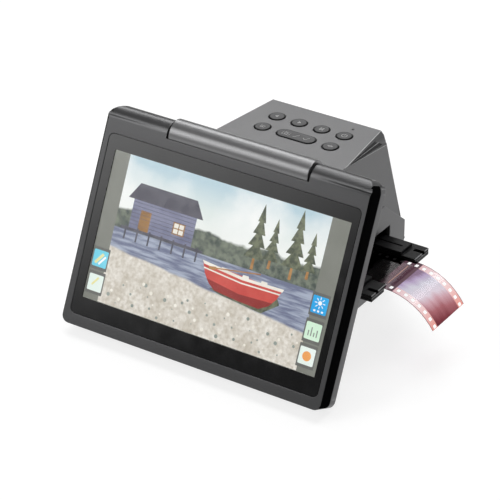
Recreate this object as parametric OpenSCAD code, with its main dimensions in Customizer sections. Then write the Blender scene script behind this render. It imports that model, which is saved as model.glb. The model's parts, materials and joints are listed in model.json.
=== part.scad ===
// Film negative scanner with a hinged screen.
// Origin: middle of the film gate, on the optical axis and in the plane of the film.
// +X is the way the film leaves, +Y is the back of the scanner, +Z is up.

/* [Stand] */
// Height of the film plane above the table
film_height = 45; // [43:0.5:50]
// Height of the seam between the base and the upper housing
seam_height = 38; // [36:0.5:39]
// Height of the gap that the feet leave under the base
foot_gap = 1.2; // [0.8:0.1:2]
// Radius of a rubber foot
foot_r = 6; // [4:0.5:7]
// Depth that a foot is let into the base
foot_sunk = 0.8; // [0.4:0.1:1]
// Foot centres, sideways from the middle
foot_x = 33; // [28:0.5:34]
// Foot centre of the front pair, ahead of the optical axis
foot_front = 60; // [50:1:62]
// Foot centre of the back pair, behind the optical axis
foot_back = 31; // [26:1:32]

/* [Body] */
// Height of the button deck above the table
deck_height = 101.5; // [98:0.5:106]
// Wall thickness of the upper housing and the base
body_wall = 2.2; // [1.8:0.1:2.4]
// Distance from the optical axis to the back wall
body_back = 50; // [49:0.5:54]
// Half of the body's width at the film slot
body_half_w = 54.5; // [54:0.5:58]
// Half of the body's width where it meets the table
foot_half_w = 42; // [41:0.5:46]
// Chamfer along the bottom edges of the base
base_edge = 3; // [2:0.5:3]
// Half of the deck's width where the side cuts start
deck_half_w = 43; // [42:0.5:46]
// Lean of the side walls, from upright
wing_lean = 13.05; // [11:0.05:15]
// Angle at which the side walls close towards the back
wing_taper = 4.36; // [3:0.02:5]
// Upper edge of the shoulder round the film slot, above the table
shoulder_height = 69.5; // [66:0.5:72]
// Where the shoulder's edge starts to fall, behind the optical axis
shoulder_knee = 25; // [22:0.5:30]
// Fall of the shoulder's edge towards the back
shoulder_fall = 39.4; // [34:0.2:42]

/* [Deck edge cuts] */
// How far ahead of the optical axis a cut starts
cut_start = 0.4; // [0:0.1:2]
// Inset of the deck's edge at the back wall
cut_deck_in = 5.2; // [4:0.1:8]
// Inset of the cut's foot at the back wall
cut_foot_in = 3; // [2:0.1:4]
// Depth of the cut's foot at the back wall
cut_foot_down = 6.9; // [6:0.1:8]
// Width of the ledge below the cut at the back wall
ledge_w = 2.4; // [2:0.1:3]
// Fall of the ledge over its width
ledge_fall = 1.3; // [0.8:0.1:1.6]
// Where the dark pocket in the cut starts, behind the optical axis
pocket_start = 7; // [5:0.5:12]
// Where the dark pocket ends at the cut's foot, behind the optical axis
pocket_end = 46; // [40:0.5:46]
// How much sooner the pocket ends at its top
pocket_slant = 8; // [0:0.5:12]
// Depth of the pocket, inwards, at the back wall
pocket_depth = 1.2; // [0.8:0.1:1.4]
// Height of the pocket as a share of the cut's wall
pocket_share = 0.8; // [0.4:0.05:0.85]

/* [Hinge] */
// Hinge axis, ahead of the optical axis
hinge_front = 35.4; // [34:0.1:38]
// Hinge axis above the table
hinge_height = 113.8; // [112:0.1:118]
// Radius of the body's hinge barrel
barrel_r = 8.35; // [8.2:0.05:8.6]
// Radius of the bore through the hinge barrel
barrel_bore_r = 6.2; // [5.5:0.1:6.5]
// Length of the body's hinge barrel
barrel_len = 90.5; // [84:0.5:96]
// Gap between the barrel and the screen's cutout
barrel_gap = 0.35; // [0.3:0.05:0.6]
// Gap between each end of the barrel and the screen
barrel_seam = 1.2; // [0.8:0.1:1.6]
// Gap between the screen's back and the body's front wall
screen_gap = 1.5; // [1.2:0.1:3]
// Radius of the hollow behind the hinge barrel
neck_hollow_r = 12; // [10:0.5:13]
// Lowest point of the neck below the hinge axis, along the screen
neck_drop = 5; // [4:0.2:5.6]
// Radius of a hinge pin
pin_r = 3; // [2.5:0.1:3.2]
// Running clearance between a hinge pin and its arm, on the radius
pin_clear = 0.05; // [0.02:0.01:0.09]
// Length of the collar that holds a pin in the barrel
pin_collar_len = 9; // [6:0.5:12]
// Thickness of the cap in each end of the barrel
barrel_cap_t = 1.6; // [1.2:0.1:2.4]

/* [Screen] */
// Lean of the screen at rest, from upright
screen_lean = 24.7; // [20:0.1:28]
// Width of the screen housing
screen_w = 172.4; // [168:0.2:180]
// Offset of the screen housing's middle, to the right
screen_shift = -1; // [-1.5:0.1:1.5]
// Thickness of the screen housing
screen_t = 16; // [15:0.2:16.4]
// Distance from the hinge axis down to the bottom edge
screen_drop = 120.7; // [118:0.1:121]
// Side barrels' centre below the hinge axis
side_barrel_drop = 1.3; // [0.8:0.1:1.6]
// Corner radius of the housing, seen from the front
screen_corner_r = 8; // [6:0.5:9]
// Radius of the housing's front side edges
screen_edge_r = 1.2; // [0.6:0.1:2]
// Wall thickness of the screen housing
screen_wall = 2; // [1.6:0.1:2.2]
// Depth of the front half of the housing
front_depth = 9.9; // [9:0.1:11]
// Top of the back cover above the hinge axis
back_cover_rise = 4; // [3:0.1:4.2]
// Width of a glossy side trim
trim_t = 2.2; // [1.6:0.1:2.4]
// Thickness of the front lip that covers a side trim
trim_lip = 1; // [0.8:0.1:1.6]
// Width of the glass
glass_w = 164; // [162:0.2:165]
// Height of the glass
glass_h = 104.4; // [102:0.2:106]
// Thickness of the glass
glass_t = 1.2; // [0.8:0.1:1.6]
// Offset of the glass's middle, to the right
glass_shift = -0.6; // [-1:0.1:1]
// Top edge of the glass below the hinge axis
glass_top_drop = 9.5; // [9.2:0.1:11]
// Corner radius of the glass
glass_corner_r = 3; // [2:0.5:4]
// Gap round the glass
glass_gap = 0.25; // [0.15:0.05:0.4]
// How far the glass lies below the front face
glass_sunk = 0.15; // [0.05:0.05:0.3]
// Width of the picture area
picture_w = 154.2; // [150:0.2:156]
// Height of the picture area
picture_h = 85.9; // [84:0.1:87]
// Picture's middle below the hinge axis
picture_drop = 60.7; // [60:0.1:61.5]
// Metal border of the display module round the picture, each side
display_rim_x = 1.9; // [1.5:0.1:2.2]
// Metal border of the display module above and below the picture
display_rim_z = 3; // [2:0.1:3.4]
// Thickness of the display module
display_t = 4.5; // [4:0.1:5]
// Slack of the display module in its frame
display_slack = 1; // [0.5:0.1:1.2]

/* [Film tray] */
// Length of the film tray
tray_len = 160; // [150:1:170]
// Width of the film tray
tray_w = 63; // [60:0.5:64]
// Bottom of the tray below the film plane
tray_low = 1.8; // [1.6:0.1:2.2]
// Top of the tray's thin ends above the film plane
tray_rim_top = 2.2; // [1.8:0.1:2.6]
// Top of the tray's rails above the film plane
tray_top = 4.2; // [3.6:0.1:4.6]
// Length of the raised rails
rail_len = 142; // [130:1:146]
// Distance from the middle to a rail's inner edge
rail_in = 16; // [15:0.2:17]
// Distance from the middle to a rail's outer edge
rail_out = 28.5; // [27:0.5:29.5]
// Width of the notch between rail and outer flange at the tray's ends
end_notch_w = 2.6; // [2:0.1:4]
// Length of the notches at the tray's ends
end_notch_len = 6; // [4:0.5:8]
// Flange left outside the notches
end_notch_out = 1.6; // [1.2:0.1:2.5]
// Length of the channel's floor that is cut away at each end
thumb_notch = 7; // [5:0.5:9]
// Half width of the channel that the film runs in
channel_half_w = 17.9; // [17.7:0.1:18.4]
// Gap above and below the film in its channel
film_play = 0.28; // [0.2:0.02:0.35]
// Length of the cover over the channel, inside the scanner
tray_cover_len = 96; // [80:1:104]
// Window length for one picture
window_w = 37; // [36.4:0.2:38]
// Window height for one picture
window_h = 25; // [24.4:0.2:26]
// Radius of a holding magnet
magnet_r = 2.5; // [2:0.1:3]
// Magnets' distance from the middle, lengthwise
magnet_x = 44; // [38:1:46]
// Magnets' distance from the middle, crosswise
magnet_y = 24; // [22:0.5:26]

/* [Film] */
// Width of the film
film_w = 35; // [34.8:0.1:35]
// Thickness of the film
film_t = 0.15; // [0.12:0.01:0.2]
// Straight length of the film to the left of the optical axis
film_left = 78; // [60:1:79]
// Radius of the free end's curl
curl_r = 36.8; // [30:0.2:50]
// Angle through which the free end curls down
curl_angle = 57.5; // [40:0.5:60]
// Pitch of the sprocket holes
hole_pitch = 4.75; // [4.7:0.01:4.8]
// Distance between the two rows of sprocket holes
hole_rows = 28.17; // [28:0.01:28.4]
// Width of a sprocket hole, across the film
hole_w = 2.8; // [2.6:0.05:2.9]
// Length of a sprocket hole, along the film
hole_l = 1.98; // [1.9:0.02:2.1]

/* [Film slot] */
// Gap round the tray in the slot, at the sides and below
slot_gap = 0.3; // [0.25:0.05:0.5]
// Top of the slot above the film plane
slot_top = 9.2; // [9:0.1:10]
// Thickness of the guide's floor
guide_floor = 3.3; // [2.8:0.1:3.6]
// Thickness of the guide's side walls
guide_wall = 2.5; // [2:0.1:3]

/* [Light and camera] */
// Length of the light box
light_box_w = 52; // [46:1:56]
// Depth of the light box, front to back
light_box_d = 40; // [36:1:44]
// Wall thickness of the light box
light_box_wall = 1.6; // [1.2:0.1:2]
// Thickness of the diffuser
diffuser_t = 2; // [1.5:0.1:2.5]
// Thickness of every circuit board
board_t = 1.6; // [1.2:0.1:1.6]
// Gap between the camera's board and the button board above it
camera_room = 4.4; // [3:0.2:6]
// Wall thickness of the camera's shaft
shaft_wall = 1.8; // [1.4:0.1:2.2]
// Radius of the lens barrel
lens_r = 7; // [6:0.1:8]
// Length of the lens barrel
lens_len = 17; // [14:0.5:18]

/* [Buttons] */
// Radius of a button's hole in the deck
button_hole_r = 5; // [4.6:0.1:5.2]
// Gap round a button
button_gap = 0.4; // [0.3:0.05:0.5]
// Height of a button above the deck
button_proud = 0.4; // [0.2:0.1:0.8]
// Travel of a button
button_travel = 0.8; // [0.5:0.1:1]
// Pitch of the round buttons in the back row
button_pitch = 15; // [14:0.5:16]
// Back row behind the optical axis
back_row_y = 32.7; // [31:0.1:34]
// Front row behind the optical axis
front_row_y = 17.4; // [16:0.1:18]
// Length of the long button's hole
long_hole_len = 25.4; // [22:0.2:27]
// Width of the long button's hole
long_hole_w = 9.8; // [9:0.1:10.4]
// Radius of the status light
status_r = 0.8; // [0.6:0.1:1.2]
// Status light behind the optical axis
status_y = 42.3; // [40:0.1:43]

/* [Hidden] */
$fn = 64;
far = 200;
table_z = -film_height;
seam_z = table_z + seam_height;
deck_z = table_z + deck_height;
under_deck_z = deck_z - body_wall;
floor_z = table_z + foot_gap;
floor_top_z = floor_z + body_wall;
shoulder_z = table_z + shoulder_height;
hinge_y = -hinge_front;
hinge_z = table_z + hinge_height;
half_t = screen_t / 2;
side_r = half_t;
cutout_r = barrel_r + barrel_gap;
seam_in = front_depth - half_t;
front_plane = half_t + screen_gap;
neck_clear = 0.8;
cutout_wall = 1.6;
cavity_top = -cutout_r - cutout_wall;

// Film tray and guide
film_half_t = film_t / 2;
play_z = film_half_t + film_play;
tray_half_w = tray_w / 2;
tray_half_len = tray_len / 2;
guide_top_z = slot_top;
guide_in_z = -tray_low - slot_gap;
guide_bottom_z = guide_in_z - guide_floor;
guide_half_in = tray_half_w + slot_gap;
guide_half_out = guide_half_in + guide_wall;
guide_half_len = body_half_w - body_wall;
film_bend_x = tray_half_len;

// Screws and bosses
boss_r = 4.2;
boss_x = 36;
boss_front_y = -44;
boss_back_y = body_back - body_wall - boss_r + 0.2;
upper_boss_h = 11;
screw_r = 1.25;
screw_head_r = 2.7;
screw_head_h = 2;
screw_seat_height = 13;
screw_seat_z = table_z + screw_seat_height;
screw_bite = 9;
screw_clear = 0.4;

// Boards, sockets and switches
switch_h = 3.2;
switch_w = 6;
actuator_r = 1.6;
actuator_h = 0.4;
switch_gap = button_travel + 0.1;
flange_t = 1;
flange_gap = 0.2;
flange_lip = 0.7;
flange_top_z = under_deck_z - flange_gap;
flange_low_z = flange_top_z - flange_t;
button_board_top_z = flange_low_z - switch_gap - actuator_h - switch_h;
main_board_y = 41;
main_board_half_w = 30;
socket_height = 13;
socket_z = table_z + socket_height;
socket_y = main_board_y + board_t;
shaft_half_w = 22;
shaft_half_d = 16;
shaft_plate = 2;
lens_flange_t = 2;
shaft_top_z = button_board_top_z - 2 * board_t - camera_room - lens_flange_t;
lens_lip = 0.6;
lens_bore_r = lens_r - 1.7;
lens_top_z = shaft_top_z + lens_flange_t;

// Each round button: name order is left to right, back row first
button_spots = [
  [-1.5 * button_pitch, back_row_y],
  [-0.5 * button_pitch, back_row_y],
  [0.5 * button_pitch, back_row_y],
  [1.5 * button_pitch, back_row_y],
  [-1.5 * button_pitch, front_row_y],
  [1.5 * button_pitch, front_row_y]
];
long_spot = [0, front_row_y];
magnet_spots = [for (x = [-magnet_x, magnet_x], y = [-magnet_y, magnet_y]) [x, y]];
boss_spots = [for (x = [-boss_x, boss_x], y = [boss_front_y, boss_back_y]) [x, y]];
foot_spots = [for (x = [-foot_x, foot_x], y = [-foot_front, foot_back]) [x, y]];
// Screen screws, sideways and below the hinge axis
screen_boss_x = 70;
screen_boss_r = 3;
screen_boss_drops = [10.2, 111.3];
screen_screw_r = 1.05;
screen_hole_r = 1.3;
screen_head_r = 2.2;
screen_head_sunk = 1.2;

// ---------- shared shapes ----------

// Extrudes a side outline (y, z) along X, as far as half_w on both sides
module side_prism(points, half_w)
  translate([-half_w, 0, 0]) rotate([90, 0, 90]) linear_extrude(2 * half_w) polygon(points);

module mirrored(side) mirror([side < 0 ? 1 : 0, 0, 0]) children();

module both_sides() for (side = [-1, 1]) mirrored(side) children();

// Flat rounded rectangle, centred
module rounded_rect(w, h, r) {
  square([w - 2 * r, h], center = true);
  square([w, h - 2 * r], center = true);
  for (x = [-1, 1], y = [-1, 1]) translate([x * (w / 2 - r), y * (h / 2 - r)]) circle(r);
}

module slab(x, y, z) translate([x[0], y[0], z[0]]) cube([x[1] - x[0], y[1] - y[0], z[1] - z[0]]);

// Front wall of the body at a height, moved inwards by inset
function front_y(z, inset) =
  hinge_y + (front_plane + inset) / cos(screen_lean) + (z - hinge_z) * tan(screen_lean);

// ---------- body ----------

// Everything outside the leaning side wall, on the right
module outside_wing(inset) {
  fall = tan(wing_lean);
  taper = tan(wing_taper);
  length = sqrt(1 + taper * taper + fall * fall);
  translate([deck_half_w, -cut_start, deck_z])
    rotate([0, -asin(fall / length), atan(taper)])
      translate([-inset, -far, -far]) cube(2 * far);
}

module body_core(inset, bottom) {
  top = deck_z - inset;
  difference() {
    side_prism([
      [front_y(bottom, inset), bottom], [body_back - inset, bottom],
      [body_back - inset, top], [front_y(top, inset), top]
    ], body_half_w - inset);
    both_sides() outside_wing(inset);
  }
}

// Shoulder round the film slot, with its edge falling to the back
module shoulder(inset, bottom) {
  top = shoulder_z - inset;
  back = body_back - inset;
  knee = shoulder_knee - inset * tan(shoulder_fall / 2);
  side_prism([
    [front_y(bottom, inset), bottom], [back, bottom],
    [back, top - (back - knee) * tan(shoulder_fall)], [knee, top], [front_y(top, inset), top]
  ], body_half_w - inset);
}

// Pyramid with its tip where the cut starts, through (x, z) points of the back wall
module cut_pyramid(points) {
  tip = [deck_half_w, -cut_start, deck_z];
  reach = 1.06;
  base = [for (p = points) [
    tip[0] + (p[0] - tip[0]) * reach, -cut_start + (body_back + cut_start) * reach,
    tip[2] + (p[1] - tip[2]) * reach
  ]];
  polyhedron(
    points = concat([tip], base),
    faces = concat(
      [[for (i = [len(base):-1:1]) i]],
      [for (i = [1:len(base)]) [0, i, i % len(base) + 1]]
    )
  );
}

// Corners of the deck edge's cut in the back wall
function wing_x(y, z) =
  deck_half_w - tan(wing_taper) * (y + cut_start) - tan(wing_lean) * (z - deck_z);
cut_deck = [deck_half_w - cut_deck_in, deck_z];
cut_foot = [deck_half_w - cut_foot_in, deck_z - cut_foot_down];
cut_out = [cut_foot[0] + 2 * ledge_w, cut_foot[1] - 2 * ledge_fall];

module deck_cut() {
  wall = cut_deck - cut_foot;
  above = cut_deck + wall * 0.3;
  cut_pyramid([cut_foot, cut_out, [cut_out[0], above[1]], above]);
}

module deck_pocket() {
  wall = cut_deck - cut_foot;
  top = cut_foot + wall * pocket_share;
  outer = [0.5, 0.2];
  intersection() {
    cut_pyramid([
      cut_foot + outer, top + outer, top - [pocket_depth * 0.4, 0.6], cut_foot - [pocket_depth, -0.4]
    ]);
    side_prism([
      [pocket_start, 0], [pocket_end, 0], [pocket_end, cut_foot[1] + 1],
      [pocket_end - pocket_slant, top[1]], [pocket_end - pocket_slant, far], [pocket_start, far]
    ], deck_half_w);
  }
}

// Concave ramp from the deck up to the hinge barrel
module neck(inset) {
  hollow_y = hinge_y + barrel_r + neck_hollow_r;
  hollow_z = deck_z + neck_hollow_r;
  low = under_deck_z - 1;
  difference() {
    side_prism([
      [front_y(low, inset), low], [hollow_y, low], [hollow_y, deck_z],
      [hollow_y, hollow_z], [front_y(hollow_z, inset), hollow_z]
    ], barrel_len / 2);
    neck_hollow();
    both_sides() outside_wing(0);
  }
}

module neck_hollow()
  translate([0, hinge_y + barrel_r + neck_hollow_r, deck_z + neck_hollow_r])
    rotate([0, 90, 0]) cylinder(r = neck_hollow_r, h = barrel_len + 2, center = true);

module round_button_hole(spot, r) translate([spot[0], spot[1], under_deck_z - 1])
  cylinder(r = r, h = body_wall + 2);

module long_shape(len, w, h) linear_extrude(h) {
  square([len - w, w], center = true);
  for (x = [-1, 1]) translate([x * (len - w) / 2, 0]) circle(w / 2);
}

module upper_shell() {
  difference() {
    union() {
      body_core(0, seam_z);
      shoulder(0, seam_z);
      neck(0);
    }
    both_sides() {
      deck_cut();
      deck_pocket();
    }
    difference() {
      union() {
        body_core(body_wall, seam_z - 1);
        shoulder(body_wall, seam_z - 1);
      }
      // keeps the wall whole behind the deck edge's cut and pocket
      both_sides() translate([-1.6, -body_wall, -1.6]) {
        deck_cut();
        deck_pocket();
      }
    }
  }
}

module upper_bosses() intersection() {
  body_core(0.5, seam_z);
  for (spot = boss_spots) {
    wall_y = spot[1] < 0 ? -far : body_back - 1;
    translate([spot[0], spot[1], seam_z]) cylinder(r = boss_r, h = upper_boss_h);
    slab([spot[0] - boss_r / 2, spot[0] + boss_r / 2],
         [min(spot[1], wall_y), max(spot[1], wall_y)], [seam_z, seam_z + upper_boss_h]);
  }
}

// Posts under the deck that carry the button board
board_post_r = 1.8;
board_post_x = 28;
front_post_out = 6;
back_post_out = 7.8;
board_posts = [
  for (x = [-1, 1], y = [front_row_y - front_post_out, back_row_y + back_post_out]) [x * board_post_x, y]
];

module upper_housing() color("#4b4c4e") difference() {
  union() {
    upper_shell();
    upper_bosses();
    for (spot = board_posts) translate([spot[0], spot[1], button_board_top_z])
      cylinder(r = board_post_r, h = under_deck_z - button_board_top_z + 0.5);
  }
  for (spot = button_spots) round_button_hole(spot, button_hole_r);
  round_button_hole([1.5 * button_pitch, status_y], status_r + 0.1);
  translate([long_spot[0], long_spot[1], under_deck_z - 1])
    long_shape(long_hole_len, long_hole_w, body_wall + 2);
  slab([-far, far], [-guide_half_in, guide_half_in], [guide_in_z - slot_gap, slot_top]);
  for (spot = boss_spots) translate([spot[0], spot[1], seam_z - 1])
    cylinder(r = screw_r + 0.05, h = screw_bite + 1.5);
}

// Base tub, with sides that close towards the table
module base_form(inset, bottom, top) {
  side_lean = (body_half_w - foot_half_w) / seam_height;
  function half_at(z) = foot_half_w + (z - table_z) * side_lean - inset;
  edge = base_edge;
  intersection() {
    side_prism([
      [front_y(bottom + edge, inset), bottom + edge], [front_y(bottom, inset) + edge, bottom],
      [body_back - inset - edge, bottom], [body_back - inset, bottom + edge],
      [body_back - inset, top], [front_y(top, inset), top]
    ], body_half_w);
    rotate([90, 0, 0]) linear_extrude(2 * far, center = true) polygon([
      [-half_at(bottom), bottom], [half_at(bottom), bottom], [half_at(top), top], [-half_at(top), top]
    ]);
  }
}

module socket_cut(x, w, h) slab([x - w / 2 - 0.3, x + w / 2 + 0.3],
  [body_back - body_wall - 1, body_back + 1], [socket_z - h / 2 - 0.3, socket_z + h / 2 + 0.3]);

// x centre, width and height of the sockets in the back wall
usb_size = [-22, 9, 3.3];
video_size = [-5, 15.2, 6];
card_size = [16, 25.4, 3.4];

// Ribs with a groove for the main board's sides
board_rib_t = 1.4;
board_rib_h = 16;
// How far a plug reaches into its socket
plug_depth = 6;
plug_wall = 0.5;

module base_housing() color("#3c3d3f") difference() {
  union() {
    difference() {
      base_form(0, floor_z, seam_z);
      base_form(body_wall, floor_top_z, seam_z + 1);
    }
    for (spot = boss_spots) translate([spot[0], spot[1], floor_z + 0.5])
      cylinder(r = boss_r, h = seam_z - floor_z - 0.5);
    both_sides() slab([main_board_half_w - 1, main_board_half_w + 3],
      [main_board_y - board_rib_t, socket_y + board_rib_t], [floor_z + 0.5, floor_top_z + board_rib_h]);
  }
  for (spot = boss_spots) translate([spot[0], spot[1], floor_z - 1]) {
    cylinder(r = screw_r + screw_clear, h = seam_z - floor_z + 2);
    cylinder(r = screw_head_r + 0.3, h = screw_seat_z - floor_z + 1);
  }
  for (spot = foot_spots) translate([spot[0], spot[1], floor_z - 1])
    cylinder(r = foot_r + 0.05, h = foot_sunk + 1);
  // the main board stands in grooves
  slab([-main_board_half_w - 0.1, main_board_half_w + 0.1], [main_board_y - 0.1, socket_y + 0.1],
       [floor_top_z, seam_z]);
  for (size = [usb_size, video_size, card_size]) socket_cut(size[0], size[1], size[2]);
}

module rubber_feet() color("#1c1c1d") for (spot = foot_spots)
  translate([spot[0], spot[1], table_z]) cylinder(r = foot_r, h = foot_gap + foot_sunk);

module base_screws() color("#8d9093") for (spot = boss_spots) translate([spot[0], spot[1], 0]) {
  difference() {
    translate([0, 0, screw_seat_z - screw_head_h]) cylinder(r = screw_head_r, h = screw_head_h);
    for (turn = [0, 90]) rotate(turn) translate([0, 0, screw_seat_z - screw_head_h])
      cube([3, 0.7, 1.6], center = true);
  }
  translate([0, 0, screw_seat_z - 0.2]) cylinder(r = screw_r, h = seam_z + screw_bite - screw_seat_z);
}

// ---------- hinge ----------

// Places things in the screen's own frame: y into the screen, z up along it, hinge axis at 0
module on_screen() translate([0, hinge_y, hinge_z]) rotate([-screen_lean, 0, 0]) children();

module along_x(x0, x1, r) translate([x0, 0, 0]) rotate([0, 90, 0]) cylinder(r = r, h = x1 - x0);

barrel_half = barrel_len / 2;

module hinge_barrel() color("#4b4c4e") difference() {
  union() {
    on_screen() along_x(-barrel_half, barrel_half, barrel_r);
    difference() {
      on_screen() slab([-barrel_half, barrel_half], [0, front_plane], [-neck_drop, barrel_r * 0.7]);
      neck_hollow();
      both_sides() outside_wing(0);
    }
  }
  on_screen() along_x(-barrel_half - 1, barrel_half + 1, barrel_bore_r);
}

// Caps that close the barrel's ends round the pins
module barrel_caps() color("#3a3b3d") on_screen() both_sides() difference() {
  along_x(barrel_half - barrel_cap_t, barrel_half, barrel_bore_r - 0.02);
  along_x(barrel_half - barrel_cap_t - 1, barrel_half + 1, pin_r + 0.02);
}

// Ends of the pieces along the hinge axis, from the middle outwards
arm_in = barrel_half + barrel_seam + 1.2;
arm_t = 10;
arm_out = arm_in + arm_t;
nut_gap = 0.2;
nut_t = 3;
nut_r = 4.4;
pin_collar_end = barrel_half - barrel_cap_t;
pin_start = pin_collar_end - pin_collar_len - 4;

module hinge_pins() color("#9a9da1") on_screen() both_sides() {
  along_x(pin_start, arm_out + nut_gap + nut_t, pin_r);
  along_x(pin_collar_end - pin_collar_len, pin_collar_end, barrel_bore_r - 0.05);
}

module hinge_nuts() color("#b0b3b6") on_screen() both_sides() difference() {
  translate([arm_out + nut_gap, 0, 0]) rotate([0, 90, 0]) cylinder(r = nut_r, h = nut_t, $fn = 6);
  along_x(arm_out, arm_out + nut_gap + nut_t + 1, pin_r + 0.02);
}

eye_r = 5.1;
arm_room = 0.3;
pin_room = 0.6;
arm_leg_y = [2.6, 4.6];
arm_leg_drop = 42;
arm_leg_w = 16;
arm_eye_drop = 7;
arm_hole_drops = [16, 34];
arm_screw_r = 1.4;

module hinge_arm() on_screen() difference() {
  union() {
    along_x(arm_in, arm_out, eye_r);
    slab([arm_in, arm_in + arm_leg_w], arm_leg_y, [-arm_leg_drop, -1]);
  }
  along_x(arm_in - 1, arm_out + 1, pin_r + pin_clear);
  slab([arm_out + 0.01, far], [-far, far], [-arm_eye_drop, far]);
  arm_spots(arm_screw_r + 0.2, arm_leg_y[0] - 1, arm_leg_y[1] + 1);
}

// Round shapes at the arm's screws, from y0 to y1
module arm_spots(r, y0, y1) for (drop = arm_hole_drops)
  translate([arm_in + arm_leg_w / 2, y0, -drop]) rotate([-90, 0, 0]) cylinder(r = r, h = y1 - y0);

module arm_screws() color("#8d9093") on_screen() both_sides() {
  arm_spots(2.6, arm_leg_y[0] - 1.4, arm_leg_y[0]);
  arm_spots(arm_screw_r, arm_leg_y[0] - 0.2, half_t - 1);
}

module hinge_arm_left() color("#8c9094") mirrored(-1) hinge_arm();
module hinge_arm_right() color("#8c9094") hinge_arm();

// ---------- screen ----------

screen_half = screen_w / 2;
screen_top = side_r - side_barrel_drop;
screen_h = screen_drop + screen_top;

// Outer form of the housing: side outline, front outline and plan outline together
module screen_form(inset) intersection() {
  translate([screen_shift - screen_half + inset, 0, 0]) rotate([90, 0, 90])
    linear_extrude(screen_w - 2 * inset) {
      translate([-half_t + inset, -screen_drop + inset])
        square([screen_t - 2 * inset, screen_drop - inset - side_barrel_drop]);
      translate([0, -side_barrel_drop]) circle(side_r - inset);
    }
  translate([screen_shift, far, screen_top - screen_h / 2]) rotate([90, 0, 0])
    linear_extrude(2 * far)
      rounded_rect(screen_w - 2 * inset, screen_h - 2 * inset, screen_corner_r - inset);
  translate([screen_shift, 0, -screen_drop]) linear_extrude(screen_h)
    rounded_rect(screen_w, screen_t, screen_edge_r);
}

// The flat back cover's own outline, with a square top
module back_form(inset) translate([screen_shift, seam_in, 0]) {
  top = back_cover_rise - inset;
  height = screen_drop - inset + top;
  intersection() {
    translate([0, half_t - seam_in - inset, top - height / 2]) rotate([90, 0, 0])
      linear_extrude(half_t - seam_in - inset) rounded_rect(screen_w - 2 * inset, height, 2);
    translate([0, far, screen_top - screen_h / 2]) rotate([90, 0, 0]) linear_extrude(2 * far)
      rounded_rect(screen_w - 2 * inset, screen_h - 2 * inset, screen_corner_r - inset);
    translate([0, half_t - seam_in - screen_t / 2, -screen_drop]) linear_extrude(screen_h)
      rounded_rect(screen_w, screen_t, screen_edge_r);
  }
}

// Space that the body's barrel and neck take out of the screen
module barrel_cutout() {
  half = barrel_half + barrel_seam;
  along_x(-half, half, cutout_r);
  slab([-half, half], [0, far], [-neck_drop - neck_clear, far]);
  slab([-half, half], [-far, far], [0, far]);
}

module trim_space() slab([screen_half - trim_t + screen_shift, far], [-half_t + trim_lip, seam_in],
                         [-far, far]);

glass_top = -glass_top_drop;
glass_mid_z = glass_top - glass_h / 2;
glass_front = -half_t + glass_sunk;
glass_back = glass_front + glass_t;

module glass_shape(grow, depth) rotate([-90, 0, 0]) linear_extrude(depth)
  rounded_rect(glass_w + 2 * grow, glass_h + 2 * grow, glass_corner_r + grow);

display_w = picture_w + 2 * display_rim_x;
display_h = picture_h + 2 * display_rim_z;
display_back = glass_back + display_t;
bezel_plate = 2.4;
cavity_half = screen_half - trim_t - 1.8;
arm_room_x = [arm_in - arm_room, arm_in + arm_leg_w + 2 * arm_room];

module left_trim_space() translate([screen_shift, 0, 0]) mirror([1, 0, 0])
  translate([-screen_shift, 0, 0]) trim_space();

// Round shapes at the screen's screws, from y0 to y1
module screen_bosses(r, y0, y1) for (x = [-screen_boss_x, screen_boss_x], drop = screen_boss_drops)
  translate([x, y0, -drop]) rotate([-90, 0, 0]) cylinder(r = r, h = y1 - y0);

module screen_bezel() color("#48494b") on_screen() difference() {
  union() {
    difference() {
      screen_form(0);
      // the back cover's side of the seam
      slab([-far, far], [seam_in, far], [-far, back_cover_rise]);
      // hollow inside
      slab([screen_shift - cavity_half, screen_shift + cavity_half],
           [-half_t + bezel_plate, far], [-screen_drop + screen_wall, cavity_top]);
      // room for the hinge arms and nuts
      both_sides() {
        along_x(arm_room_x[0], arm_room_x[1], eye_r + arm_room);
        slab(arm_room_x, [-1, seam_in + 1], [cavity_top - 1, 0]);
      }
    }
    screen_bosses(screen_boss_r, -half_t + bezel_plate - 0.4, half_t - screen_wall - 0.1);
  }
  screen_bosses(screen_screw_r + 0.05, -3, half_t);
  both_sides() along_x(barrel_half, arm_in, pin_r + pin_room);
  barrel_cutout();
  trim_space();
  left_trim_space();
  translate([glass_shift, -half_t - 1, glass_mid_z]) glass_shape(glass_gap, 1 + glass_sunk + glass_t);
  slab([-display_w / 2 - display_slack, display_w / 2 + display_slack], [-half_t, -half_t + 4],
       [-picture_drop - display_h / 2 - display_slack, -picture_drop + display_h / 2 + display_slack]);
}

module screen_trim_right() color("#0d0d0e") on_screen() intersection() {
  screen_form(0);
  trim_space();
}

module screen_trim_left() color("#0d0d0e") on_screen() intersection() {
  screen_form(0);
  left_trim_space();
}

module screen_glass() color("#151517") on_screen()
  translate([glass_shift, glass_front, glass_mid_z]) glass_shape(0, glass_t);

module lcd_panel() color("#6f8790") on_screen()
  slab([-display_w / 2, display_w / 2], [glass_back, display_back],
       [-picture_drop - display_h / 2, -picture_drop + display_h / 2]);

// The board stands a little off the display module's back
display_board_y = display_back + 0.3;
display_board_left = 55;
display_board_right = 30;
display_board_down = 32;
display_board_up = 28;
module display_board() color("#1f5a3c") on_screen()
  slab([-display_board_left, display_board_right], [display_board_y, display_board_y + board_t],
       [-picture_drop - display_board_down, -picture_drop + display_board_up]);

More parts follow.
